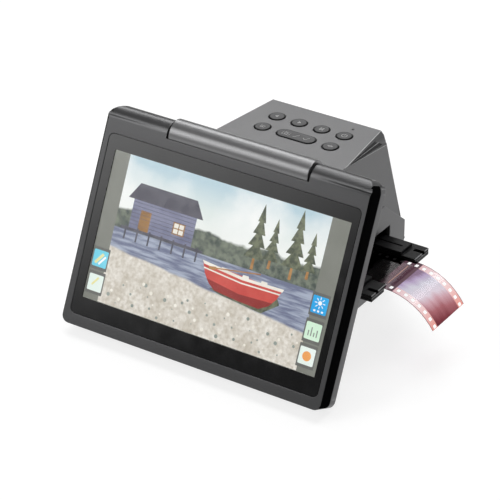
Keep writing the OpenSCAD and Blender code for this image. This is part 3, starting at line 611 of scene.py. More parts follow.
@dataclass(frozen=True)
class LitPicture(Finish):
    """A part of the picture on the lit display, with the panel's fine dots."""

    second: str = ""
    scale: float = 60.0
    detail: float = 6.0
    contrast: Point2 = (0.4, 0.6)
    dots: float = 24000.0
    between_dots: float = 0.96
    panel: tuple[str, str] = ("0a0a0c", "101014")
    roughness: float = 0.5

    def dress(self, bench: ShaderBench, shader: Node) -> None:
        """Wires the picture's tones into the emission, over a dark panel.

        Args:
            bench: The material's bench.
            shader: The Principled shader.
        """
        where = bench.place()
        patches = Patches(self.scale, self.detail, self.contrast).share(bench, where)
        self.light(bench, shader, bench.tones(patches, (self.color, self.second)), where)

    def light(self, bench: ShaderBench, shader: Node, tone: NodeSocket, where: NodeSocket) -> None:
        """Sends a tone through the panel's dots to the shader's emission.

        Args:
            bench: The material's bench.
            shader: The Principled shader.
            tone: The picture's colour.
            where: Object coordinates.
        """
        across = bench.axes(where)[0]
        dots = bench.math("SINE", bench.math("MULTIPLY", across, self.dots))
        lit = bench.span(dots, (-1.0, 1.0), (self.between_dots, 1.0))
        shown = bench.blend(lit, PURE_BLACK, tone)
        bench.fill(shader, {"Emission Color": shown, "Emission Strength": 1.0,
                            "Base Color": bench.tones(lit, self.panel), "Roughness": self.roughness})


@dataclass(frozen=True)
class LitScenery(LitPicture):
    """The picture's backdrop: sky, far hills and the lake, by height on the panel."""

    base_z: float = -60.7
    half_h: float = 43.0
    ragged: Point2 = (45.0, 6.0)
    ragged_by: float = 0.35
    sky_span: Point2 = (0.3, 1.0)
    sky: Stops = ((0.0, "f2f4ef"), (0.5, "dfe9e6"), (1.0, "b9d2dc"))
    clouds: Patches = Patches(22.0, 5.0, (0.45, 0.7))
    cloud: str = "f8faf8"
    leaves: Patches = Patches(300.0, 4.0, (0.35, 0.65))
    wood: tuple[str, str] = ("46504a", "7c8474")
    treetops: Point2 = (0.36, 0.4)
    ripples: Patches = Patches(70.0, 4.0, (0.4, 0.62))
    ripple_shape: Point3 = (1.0, 1.0, 9.0)
    water: tuple[str, str] = ("6f7690", "a9b2c4")
    far_bank: Point2 = (0.1, 0.11)
    grains: Patches = Patches(420.0, 9.0, NOISE_MIDDLE)
    sand: tuple[str, str] = ("c6beaf", "f0ece4")
    damp: Patches = Patches(65.0, 5.0, (0.42, 0.78), 0.6)
    damp_sand: str = "b4aa98"
    shore: Point2 = (-0.32, -0.29)
    shore_slope: float = 2.2
    shore_ragged: float = 0.25

    def dress(self, bench: ShaderBench, shader: Node) -> None:
        """Wires bands of colour by height, with ragged borders and ripples.

        Args:
            bench: The material's bench.
            shader: The Principled shader.
        """
        where = bench.place()
        across, _, up = bench.axes(where)
        rise = math.cos(math.radians(SCREEN_LEAN))
        middle = (HINGE_AXIS[2] + self.base_z * rise) * MM
        height = bench.math("DIVIDE", bench.math("SUBTRACT", up, middle), self.half_h * rise * MM)
        ragged = bench.sway(bench.noise(where, *self.ragged), self.ragged_by)
        hills = bench.math("ADD", height, ragged)
        sky = bench.ramp(bench.span(height, self.sky_span), self.sky)
        sky = bench.blend(self.clouds.share(bench, where), sky, paint(self.cloud))
        wood = bench.tones(self.leaves.share(bench, where), self.wood)
        tone = bench.blend(bench.span(hills, self.treetops), wood, sky)
        rippled = bench.stretch(where, self.ripple_shape)
        water = bench.tones(self.ripples.share(bench, rippled), self.water)
        tone = bench.blend(bench.span(height, self.far_bank), water, tone)
        sand = bench.tones(self.grains.share(bench, where), self.sand)
        sand = bench.blend(self.damp.share(bench, where), sand, paint(self.damp_sand))
        slope = bench.math("ADD", height, bench.math("MULTIPLY", across, self.shore_slope))
        shore = bench.math("ADD", slope, bench.math("MULTIPLY", ragged, self.shore_ragged))
        tone = bench.blend(bench.span(shore, self.shore), sand, tone)
        self.light(bench, shader, tone, where)


@dataclass(frozen=True)
class CoverGlass(Finish):
    """Clear cover glass with a faint anti-glare surface."""

    roughness: float = 0.2
    ior: float = 1.45
    haze: Point2 = (30.0, 4.0)
    haze_tone: float = 0.97
    uneven: float = 0.2

    def dress(self, bench: ShaderBench, shader: Node) -> None:
        """Wires a faint unevenness and sets the clear glass.

        Args:
            bench: The material's bench.
            shader: The Principled shader.
        """
        where = bench.place()
        base = paint(self.color)
        haze = bench.noise(where, *self.haze)
        tone = bench.blend(haze, base, shade(base, self.haze_tone))
        ends = (self.roughness * (1 - self.uneven), self.roughness * (1 + self.uneven))
        rough = bench.span(haze, NOISE_MIDDLE, ends)
        bench.fill(shader, {"Base Color": tone, "Roughness": rough, "Metallic": 0.0,
                            "Transmission Weight": 1.0, "IOR": self.ior})


@dataclass(frozen=True)
class FilmBase(Finish):
    """Clear colour negative: its tints filter the light, by place along and across the strip. The pale
    middle of the base tint along the curl is a painted highlight.
    """

    length: float = 194.93
    frame_start: float = 162.4
    frame_pitch: float = 38.0
    picture_rise: Point2 = (0.0, 0.3)
    picture_fall: Point2 = (36.0, 36.3)
    picture_side: Point2 = (0.337, 0.343)
    cloud: Point2 = (5.0, 3.0)
    cloud_by: float = 0.22
    drift_by: float = -0.25
    picture: Stops = (
        (0.0, "8f7890"), (0.08, "b5a3c2"), (0.22, "cfccd8"), (0.42, "dccfda"),
        (0.54, "cda3ac"), (0.68, "a8686f"), (0.86, "7c3a42"), (1.0, "54262d"),
    )
    # base tint along the strip: film colour, with a painted highlight in its pale middle stops on the curl
    base_and_highlight_span: Point2 = (-6.0, 34.0)
    base: Stops = (
        (0.0, "a8828c"), (0.16, "deb8bc"), (0.45, "f8eaec"), (0.68, "f2ccca"), (0.92, "e8988a"),
    )
    faint: Point2 = (30.0, 3.0)
    faint_by: float = 0.35
    rim: Point2 = (0.486, 0.494)
    rim_tint: str = "8a5a60"
    leader: Point2 = (0.2, 0.4)
    leader_by: float = 0.9
    leader_tint: str = "4a3440"
    mark_rise: Point2 = (-6.3, -6.2)
    mark_fall: Point2 = (-5.7, -5.6)
    mark_side: Point2 = (0.31, 0.32)
    mark_by: float = 0.45
    mark_tint: str = "c89a84"
    wear: Point2 = (60.0, 4.0)
    roughness: Point2 = (0.08, 0.14)
    ior: float = 1.16

    def from_start(self, places: Point2) -> Point2:
        """Returns a range that is given from the first picture's start, as one along the strip."""
        return (self.frame_start + places[0], self.frame_start + places[1])

    def dress(self, bench: ShaderBench, shader: Node) -> None:
        """Wires base, pictures and the gaps between them into the film's tint.

        Args:
            bench: The material's bench.
            shader: The Principled shader.
        """
        uv = bench.add("ShaderNodeTexCoord").outputs["UV"]
        along, across, _ = bench.axes(uv)
        run = bench.math("MULTIPLY", along, self.length)
        past = bench.math("SUBTRACT", run, self.frame_start)
        cell = bench.math("FLOORED_MODULO", past, self.frame_pitch)
        share = bench.math("DIVIDE", cell, self.frame_pitch)
        cloud = bench.sway(bench.noise(uv, *self.cloud), self.cloud_by)
        drift = bench.sway(across, self.drift_by)
        picture = bench.ramp(bench.math("ADD", bench.math("ADD", share, cloud), drift), self.picture)
        edge = bench.math("ABSOLUTE", bench.math("SUBTRACT", across, 0.5))
        inside = bench.span(edge, self.picture_side, (1.0, 0.0))
        inside = bench.math("MULTIPLY", inside, bench.window(cell, self.picture_rise, self.picture_fall))
        # film colour with a painted highlight at the curl's middle
        base = bench.ramp(bench.span(past, self.base_and_highlight_span), self.base)
        faint = bench.math("MULTIPLY", bench.noise(uv, *self.faint), self.faint_by)
        tint = bench.blend(faint, base, paint(self.color))
        tint = bench.blend(bench.span(edge, self.rim), tint, paint(self.rim_tint))
        tint = bench.blend(inside, tint, picture)
        leader = bench.span(run, self.from_start(self.leader), (1.0, 0.0))
        tint = bench.blend(bench.math("MULTIPLY", leader, self.leader_by), tint, paint(self.leader_tint))
        mark = bench.window(run, self.from_start(self.mark_rise), self.from_start(self.mark_fall))
        mark = bench.math("MULTIPLY", mark, bench.span(edge, self.mark_side, (self.mark_by, 0.0)))
        tint = bench.blend(mark, tint, paint(self.mark_tint))
        rough = bench.span(bench.noise(uv, *self.wear), NOISE_MIDDLE, self.roughness)
        bench.fill(shader, {"Base Color": tint, "Roughness": rough, "Metallic": 0.0,
                            "Transmission Weight": 1.0, "IOR": self.ior})


class Look(Enum):
    """Every finish on the scanner."""

    BODY = MouldedPlastic("charcoal_body", "6c6c6d", metal=0.3, roughness=0.38)
    BARREL = MouldedPlastic("satin_barrel", "7c7c7d", metal=0.7, roughness=0.32)
    BASE = MouldedPlastic("dark_base", "606062", metal=0.25)
    BEZEL = MouldedPlastic("satin_bezel", "545455", roughness=0.33, metal=0.75, gloss=0.8)
    # painted highlight on the rounded edges along the deck cuts, and the colour of the pocket ribs
    EDGE = MouldedPlastic("painted_edge_highlight", "bababa", roughness=0.5, gloss=0.3)
    BUTTON = MouldedPlastic("button_plastic", "4c4c4d", roughness=0.42, grain=5000.0, gloss=0.35)
    # painted shade of the gap round each button
    BUTTON_RIM_SHADE = MouldedPlastic("button_rim_painted_shade", "252526", roughness=0.45, gloss=0.2)
    PRINT = MouldedPlastic("button_print", "a6a6a6", roughness=0.5, grain=6000.0)
    # painted shade inside the pockets of the deck cuts
    POCKET_SHADE = MouldedPlastic("pocket_painted_shade", "2c2c2d", roughness=0.5, gloss=0.2)
    TRAY = MouldedPlastic("tray_black", "161617", roughness=0.42, gloss=0.15)
    # painted glint on the upper end edges of the tray parts
    GLINT = MouldedPlastic("painted_tray_glint", "9a9a9c", roughness=0.4, gloss=0.3)
    INNER = MouldedPlastic("inner_black", "161617", roughness=0.7)
    WHITE = MouldedPlastic("white_spreader", "e6e6e2", roughness=0.6)
    TRIM = PolishedPlastic("gloss_trim", "0c0c0d", gloss=0.0, roughness=0.12)
    BORDER = PolishedPlastic("printed_glass", "0d0d0e", roughness=0.06, gloss=0.75)
    LENS_TINT = PolishedPlastic("status_lens", "2a2e2b")
    SENSOR = PolishedPlastic("sensor_chip", "23232c")
    GLASS = CoverGlass("cover_glass", "ffffff", roughness=0.02, ior=1.3)
    LENS = CoverGlass("lens_glass", "dfe8f4", roughness=0.05)
    STEEL = SheetMetal("zinc_steel", "a6a9ac")
    ARM = SheetMetal("stamped_arm", "8f9396", roughness=0.38)
    MAGNET = SheetMetal("nickel_magnet", "b4b6b8", roughness=0.2)
    RUBBER = Rubber("foot_rubber", "1d1d1e")
    BOARD = CircuitBoard("green_board", "1e5a3c")
    FILM = FilmBase("negative_film", "eec4c8")

    @property
    def material(self) -> Material:
        """The finish's material."""
        return self.value.material()


class Picture(Enum):
    """Colours of the generic picture and the marks on the display."""

    SCENERY = LitScenery("scenery", "ffffff")
    MARGIN = LitPicture("panel_margin", "7c7e76", second="82847c")
    MARGIN_DARK = LitPicture("panel_margin_dark", "666763", second="6b6c68")
    WALL = LitPicture("boathouse_wall", "6d708a", second="8487a0", scale=80.0)
    ROOF = LitPicture("boathouse_roof", "4b4a55", second="5d5c66", scale=200.0)
    DOOR = LitPicture("boathouse_door", "8f6a3c", second="a67c48", scale=120.0)
    HULL = LitPicture("boat_hull", "c4463e", second="d65a50", scale=60.0)
    HULL_DARK = LitPicture("boat_shade", "8d2d2a", second="9c3733", scale=60.0)
    SEAT = LitPicture("boat_seat", "e9e4d8", second="f4f0e6", scale=100.0)
    TREE = LitPicture("pine_tree", "4a5142", second="757b62", scale=320.0)
    TRUNK = LitPicture("tree_trunk", "a0713f", second="b98a55", scale=200.0)
    CYAN = LitPicture("icon_cyan", "6fd3ea", second="7ddaf0")
    BLUE = LitPicture("icon_blue", "1ba4e8", second="2fb0f0")
    PALE = LitPicture("icon_pale", "e8f6ee", second="f0faf4")
    MINT = LitPicture("icon_mint", "d6f3da", second="e2f8e4")
    YELLOW = LitPicture("icon_yellow", "e9e3a0", second="f2edb4")
    ORANGE = LitPicture("icon_orange", "ef9a4c", second="f4aa62")
    WHITE = LitPicture("icon_white", "fbfdfd", second="ffffff")
    GREY = LitPicture("icon_grey", "8c958d", second="9aa29a")

    @property
    def material(self) -> Material:
        """The colour's material."""
        return self.value.material()


# ---------- mesh building ----------

FLAT_ANGLE = math.radians(0.5)
CAD_MERGE = 2e-6
PIECE_MERGE = 1e-8
MERGE_MM = 1e-5
CUT_MERGE = 1e-4
ON_PLANE = 0.01
CORNER_STEPS = 6
LEAST_STEPS = 8
RING_STEP = 10
SHARP = math.radians(30.0)
OFF_FACE = 0.01
FAR = 250


def screen_place() -> Matrix:
    """Returns the matrix from the screen's own frame, in millimetres, to the part's frame."""
    return Matrix.Translation(HINGE_AXIS) @ Matrix.Rotation(math.radians(-SCREEN_LEAN), 4, "X")


def screen_flat(depth: float) -> Matrix:
    """Returns the place of flat shapes on the screen.

    Args:
        depth: Where their lower face lies, into the screen from its middle plane.

    Returns:
        A matrix that takes X across, Y up the screen and Z out of it.
    """
    return screen_place() @ Matrix.Translation((0, depth, 0)) @ Matrix.Rotation(math.radians(90), 4, "X")


@dataclass
class Blank:
    """A mesh in the making, in millimetres."""

    bm: BMesh = field(default_factory=bmesh.new)

    @property
    def whole(self) -> list:
        """Every vertex, edge and face."""
        return self.bm.verts[:] + self.bm.edges[:] + self.bm.faces[:]

    def move(self, place: Matrix) -> "Blank":
        """Transforms the whole mesh and returns it."""
        bmesh.ops.transform(self.bm, matrix=place, verts=self.bm.verts)
        return self

    def thicken(self, height: float) -> "Blank":
        """Extrudes the flat faces upwards along Z.

        Args:
            height: How far.

        Returns:
            The blank, with a closed mesh.
        """
        pushed = bmesh.ops.extrude_face_region(self.bm, geom=self.bm.faces[:], use_keep_orig=True)
        verts = [v for v in pushed["geom"] if isinstance(v, BMVert)]
        bmesh.ops.translate(self.bm, verts=verts, vec=(0, 0, height))
        return self

    def bevel(self, edges: Sequence[BMEdge], radius: float, segments: int = 2,
              clamp: bool = False) -> list[BMFace]:
        """Rounds edges.

        Args:
            edges: The edges.
            radius: Their new radius.
            segments: Faces across the rounding.
            clamp: Whether the radius gives way where there is no room.

        Returns:
            The new faces.
        """
        made = bmesh.ops.bevel(self.bm, geom=list(edges), offset=radius, offset_type="OFFSET",
                               segments=segments, profile=0.5, affect="EDGES", clamp_overlap=clamp,
                               material=-1)
        return made["faces"]

    def round_corners(self, corners: Sequence[BMVert], radius: float) -> None:
        """Rounds corners of a flat face."""
        bmesh.ops.bevel(self.bm, geom=list(corners), offset=radius, segments=CORNER_STEPS, profile=0.5,
                        affect="VERTICES", material=-1)

    def lay_face(self, corners: Sequence[Point2]) -> None:
        """Adds a flat face at height 0."""
        self.bm.faces.new([self.bm.verts.new((x, y, 0)) for x, y in corners])

    def add(self, other: "Blank") -> "Blank":
        """Takes another blank's mesh into this one.

        Args:
            other: The other blank, which is used up.

        Returns:
            This blank.
        """
        held = bpy.data.meshes.new("held")
        other.bm.to_mesh(held)
        other.bm.free()
        self.bm.from_mesh(held)
        bpy.data.meshes.remove(held)
        return self


def spun(middle: Point2, turn: float) -> Matrix:
    """Returns the place of a flat shape that is turned by some degrees about its middle."""
    return Matrix.Translation((*middle, 0)) @ Matrix.Rotation(math.radians(turn), 4, "Z")


def shape(points: Sequence[Point2], height: float) -> Blank:
    """Makes a flat shape from its outline.

    Args:
        points: The outline's corners.
        height: The shape's thickness.

    Returns:
        The closed blank, with its lower face at 0.
    """
    blank = Blank()
    blank.lay_face(points)
    return blank.thicken(height)


def oblong(low: Point2, high: Point2, height: float) -> Blank:
    """Makes a flat rectangle from two opposite corners and returns it, with its lower face at 0."""
    return shape([low, (high[0], low[1]), high, (low[0], high[1])], height)


def rounded(width: float, height: float, radius: float, thick: float, middle: Point2 = (0, 0),
            turn: float = 0.0) -> Blank:
    """Makes a flat rectangle with rounded corners.

    Args:
        width: Size across.
        height: Size upwards.
        radius: Corner radius.
        thick: Thickness.
        middle: Place of its middle.
        turn: Turn about its middle, in degrees.

    Returns:
        The closed blank, with its lower face at 0.
    """
    blank = Blank()
    bmesh.ops.create_grid(blank.bm, x_segments=1, y_segments=1, size=0.5)
    bmesh.ops.scale(blank.bm, vec=(width, height, 1), verts=blank.bm.verts)
    blank.round_corners(blank.bm.verts[:], radius)
    return blank.thicken(thick).move(spun(middle, turn))


def disc(radius: float, thick: float, middle: Point2 = (0, 0), sides: int = 32) -> Blank:
    """Makes a flat disc.

    Args:
        radius: Its radius.
        thick: Thickness.
        middle: Place of its middle.
        sides: Corners of its outline.

    Returns:
        The closed blank, with its lower face at 0.
    """
    blank = Blank()
    bmesh.ops.create_circle(blank.bm, cap_ends=True, segments=sides, radius=radius)
    return blank.thicken(thick).move(Matrix.Translation((*middle, 0)))


def ring(outer: float, inner: float, thick: float, middle: Point2 = (0, 0), start: float = 0.0,
         sweep: float = 360.0) -> Blank:
    """Makes a flat ring, or a part of one.

    Args:
        outer: Outer radius.
        inner: Inner radius.
        thick: Thickness.
        middle: Place of its middle.
        start: Where the part begins, in degrees from +X.
        sweep: How far it goes round, in degrees.

    Returns:
        The closed blank, with its lower face at 0.
    """
    blank = Blank()
    bm = blank.bm
    section = ((inner, 0, 0), (outer, 0, 0), (outer, 0, thick), (inner, 0, thick))
    corners = [bm.verts.new(spot) for spot in section]
    face = bm.faces.new(corners)
    whole = sweep >= 360
    geom = corners + list(face.edges) if whole else [face]
    if whole:
        bm.faces.remove(face)
    bmesh.ops.spin(bm, geom=geom, cent=(0, 0, 0), axis=(0, 0, 1), angle=math.radians(sweep),
                   steps=max(LEAST_STEPS, int(sweep / RING_STEP)), use_merge=whole)
    if whole:
        bmesh.ops.remove_doubles(bm, verts=bm.verts, dist=MERGE_MM)
    return blank.move(spun(middle, start))


def copy_of(node: str) -> Blank:
    """Makes a merged copy of a solid's mesh, in millimetres.

    Args:
        node: The solid's name.

    Returns:
        The copy, with its flat faces whole.
    """
    blank = Blank()
    blank.bm.from_mesh(frame["nodes"][node].data)
    bmesh.ops.remove_doubles(blank.bm, verts=blank.bm.verts, dist=CAD_MERGE)
    blank.move(Matrix.Scale(1 / MM, 4))
    bmesh.ops.dissolve_limit(blank.bm, angle_limit=FLAT_ANGLE, verts=blank.bm.verts, edges=blank.bm.edges)
    blank.bm.normal_update()
    return blank


def outer_edges(bm: BMesh, shortest: float) -> list[BMEdge]:
    """Finds the sharp, convex edges from which nothing else of the mesh can be seen.

    Args:
        bm: The mesh.
        shortest: Edges below this length are left out.

    Returns:
        The edges.
    """
    tree = BVHTree.FromBMesh(bm, epsilon=0)
    found = []
    for edge in bm.edges:
        if not edge.is_manifold or not edge.is_convex or edge.calc_length() < shortest:
            continue
        if edge.calc_face_angle(0) < SHARP:
            continue
        out = (edge.link_faces[0].normal + edge.link_faces[1].normal).normalized()
        middle = (edge.verts[0].co + edge.verts[1].co) / 2
        if tree.ray_cast(middle + out * OFF_FACE, out, FAR)[0] is None:
            found.append(edge)
    return found


def piece(blank: Blank, name: str, look: Material, body: str = "root",
          replaces: Sequence[str] = (), smooth: float = 32.0) -> Object:
    """Turns a blank into a finished piece that moves with a body.

    Args:
        blank: The mesh, in millimetres and in place.
        name: The piece's name.
        look: Its material.
        body: The body that it moves with.
        replaces: The solids that it stands for.
        smooth: Edges sharper than this angle stay sharp, in degrees.

    Returns:
        The piece.
    """
    bm = blank.bm
    blank.move(Matrix.Scale(MM, 4))
    bmesh.ops.remove_doubles(bm, verts=bm.verts, dist=PIECE_MERGE)
    bmesh.ops.recalc_face_normals(bm, faces=bm.faces)
    mesh = bpy.data.meshes.new(name)
    bm.to_mesh(mesh)
    bm.free()
    mesh.materials.append(look)
    mesh.polygons.foreach_set("use_smooth", [True] * len(mesh.polygons))
    mesh.set_sharp_from_angle(angle=math.radians(smooth))
    made = bpy.data.objects.new(name, mesh)
    bpy.context.scene.collection.objects.link(made)
    facing = made.modifiers.new("facing", "WEIGHTED_NORMAL")
    facing.keep_sharp = True
    if replaces:
        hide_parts(*replaces)
    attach(made, body)
    LOG.info("%s: %d faces on %s", name, len(mesh.polygons), body)
    return made


# ---------- sub-assemblies ----------


@dataclass(frozen=True)
class Softbox:
    """A square soft lamp: where it stands, what it faces, its size and power."""

    name: str
    spot: Point3
    size: float
    power: float
    fade: float = 0.0
    middle: Point3 = (0.5, 0.5, 0.0)

    def build(self) -> None:
        """Places the lamp. With a fade, its light falls off from its middle to its rim."""
        data = bpy.data.lights.new(self.name, "AREA")
        data.size = self.size
        data.energy = self.power
        lamp = bpy.data.objects.new(self.name, data)
        lamp.location = self.spot
        lamp.rotation_euler = (-Vector(self.spot)).to_track_quat("-Z", "Y").to_euler()
        bpy.context.scene.collection.objects.link(lamp)
        if self.fade:
            self.soften(data)

    def soften(self, data: bpy.types.Light) -> None:
        """Lets the lamp's cloth glow most in the middle.

        Args:
            data: The lamp.
        """
        data.use_nodes = True
        bench = ShaderBench(data.node_tree)
        across = bench.add("ShaderNodeNewGeometry").outputs["Parametric"]
        middle = bench.add("ShaderNodeVectorMath", operation="DISTANCE")
        bench.wire(across, middle.inputs[0])
        middle.inputs[1].default_value = self.middle
        glow = bench.span(middle.outputs["Value"], (0.5 - self.fade, 0.5), (1.0, 0.0))
        bench.wire(glow, data.node_tree.nodes["Emission"].inputs["Strength"])


@dataclass
class Studio:
    """Camera, lamps, floor and surrounding light."""

    eye: Point3 = (0.65367, -1.03369, 0.69494)
    aim: Point3 = (-0.4731, 0.7262, -0.4989)
    lens: float = 177.5
    sensor: float = 36.0
    surround: float = 0.14
    table_z: float = -0.045
    floor_glow: float = 0.8
    floor_tone: float = 0.28
    floor_seen: str = "f0f0f0"
    floor_roughness: float = 0.9
    floor_half: float = 12.0
    lamps: tuple[Softbox, ...] = (
        Softbox("overhead", (-0.1, 0.3, 1.9), 1.3, 20.0),
        Softbox("back_high", (-1.05, 1.35, 1.5), 0.9, 10.8),
        Softbox("front_high", (-1.0, -1.3, 1.38), 0.8, 6.0),
        Softbox("front_left_panel", (-1.1, -1.33, 0.8), 1.28, 21.0, 0.5),
        Softbox("rim", (0.35, 1.5, 1.05), 0.4, 3.0),
    )

    def build(self) -> None:
        """Sets up camera, lamps, floor and world."""
        scene = bpy.context.scene
        camera = bpy.data.objects.new("camera", bpy.data.cameras.new("camera"))
        camera.data.lens = self.lens
        camera.data.sensor_width = self.sensor
        camera.location = self.eye
        camera.rotation_euler = Vector(self.aim).to_track_quat("-Z", "Y").to_euler()
        scene.collection.objects.link(camera)
        scene.camera = camera
        scene.view_settings.view_transform = "Standard"
        for lamp in self.lamps:
            lamp.build()
        self.world(scene)
        self.floor()

    def world(self, scene: bpy.types.Scene) -> None:
        """Gives the scene an even, pale surrounding light.

        Args:
            scene: The scene.
        """
        world = bpy.data.worlds.new("studio")
        world.use_nodes = True
        light = world.node_tree.nodes["Background"]
        ShaderBench(world.node_tree).fill(light, {"Color": PURE_WHITE, "Strength": self.surround})
        scene.world = world

    def floor(self) -> None:
        """Lays a plain pale floor, which looks white and keeps a soft shadow."""
        made = bpy.data.materials.new("studio_floor")
        made.use_nodes = True
        bench = ShaderBench(made.node_tree)
        shader = made.node_tree.nodes["Principled BSDF"]
        path = bench.add("ShaderNodeLightPath")
        seen = bench.math("ADD", path.outputs["Is Camera Ray"], path.outputs["Is Glossy Ray"])
        seen = bench.math("ADD", seen, path.outputs["Is Transmission Ray"], clamp=True)
        tone = bench.blend(seen, paint(self.floor_seen), shade(PURE_WHITE, self.floor_tone))
        glow = bench.math("MULTIPLY", seen, self.floor_glow)
        bench.fill(shader, {"Base Color": tone, "Emission Strength": glow, "Emission Color": PURE_WHITE,
                            "Roughness": self.floor_roughness, "Specular IOR Level": 0.0})
        bm = bmesh.new()
        bmesh.ops.create_grid(bm, x_segments=1, y_segments=1, size=self.floor_half)
        bmesh.ops.translate(bm, verts=bm.verts, vec=(0, 0, self.table_z))
        mesh = bpy.data.meshes.new("studio_floor")
        bm.to_mesh(mesh)
        bm.free()
        mesh.materials.append(made)
        floor = bpy.data.objects.new("studio_floor", mesh)
        bpy.context.scene.collection.objects.link(floor)


@dataclass
class Solids:
    """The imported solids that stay, each with its finish."""

    looks: dict[str, Look] = field(default_factory=lambda: {
        "body_plastic": Look.BODY, "base_plastic": Look.BASE, "bezel_plastic": Look.BEZEL,
        "gloss_trim": Look.TRIM, "cover_glass": Look.GLASS, "display": Look.INNER,
        "tray_plastic": Look.TRAY, "film": Look.FILM, "magnet_metal": Look.MAGNET,
        "button_plastic": Look.BUTTON, "foot_rubber": Look.RUBBER, "steel": Look.STEEL,
        "arm_steel": Look.ARM, "circuit_board": Look.BOARD, "white_plastic": Look.WHITE,
        "inner_black": Look.INNER, "lens_glass": Look.LENS, "sensor": Look.SENSOR,
        "status_lens": Look.LENS_TINT,
    })

    def slot_of(self, node: str) -> str:
        """Returns a solid's material slot in the record."""
        return next(p["material_slot"] for p in frame["record"]["subparts"] if p["node"] == node)

    def body_of(self, node: str) -> str:
        """Returns the body that a solid moves with."""
        bodies = frame["record"]["behaviour"]["bodies"]
        return next(body for body, nodes in bodies.items() if node in nodes)

    def dress(self) -> None:
        """Gives every solid its finish."""
        for name, solid in frame["nodes"].items():
            look = self.looks[self.slot_of(name)].material
            for socket in solid.material_slots:
                socket.material = look
            LOG.info("%s: solid kept", name)


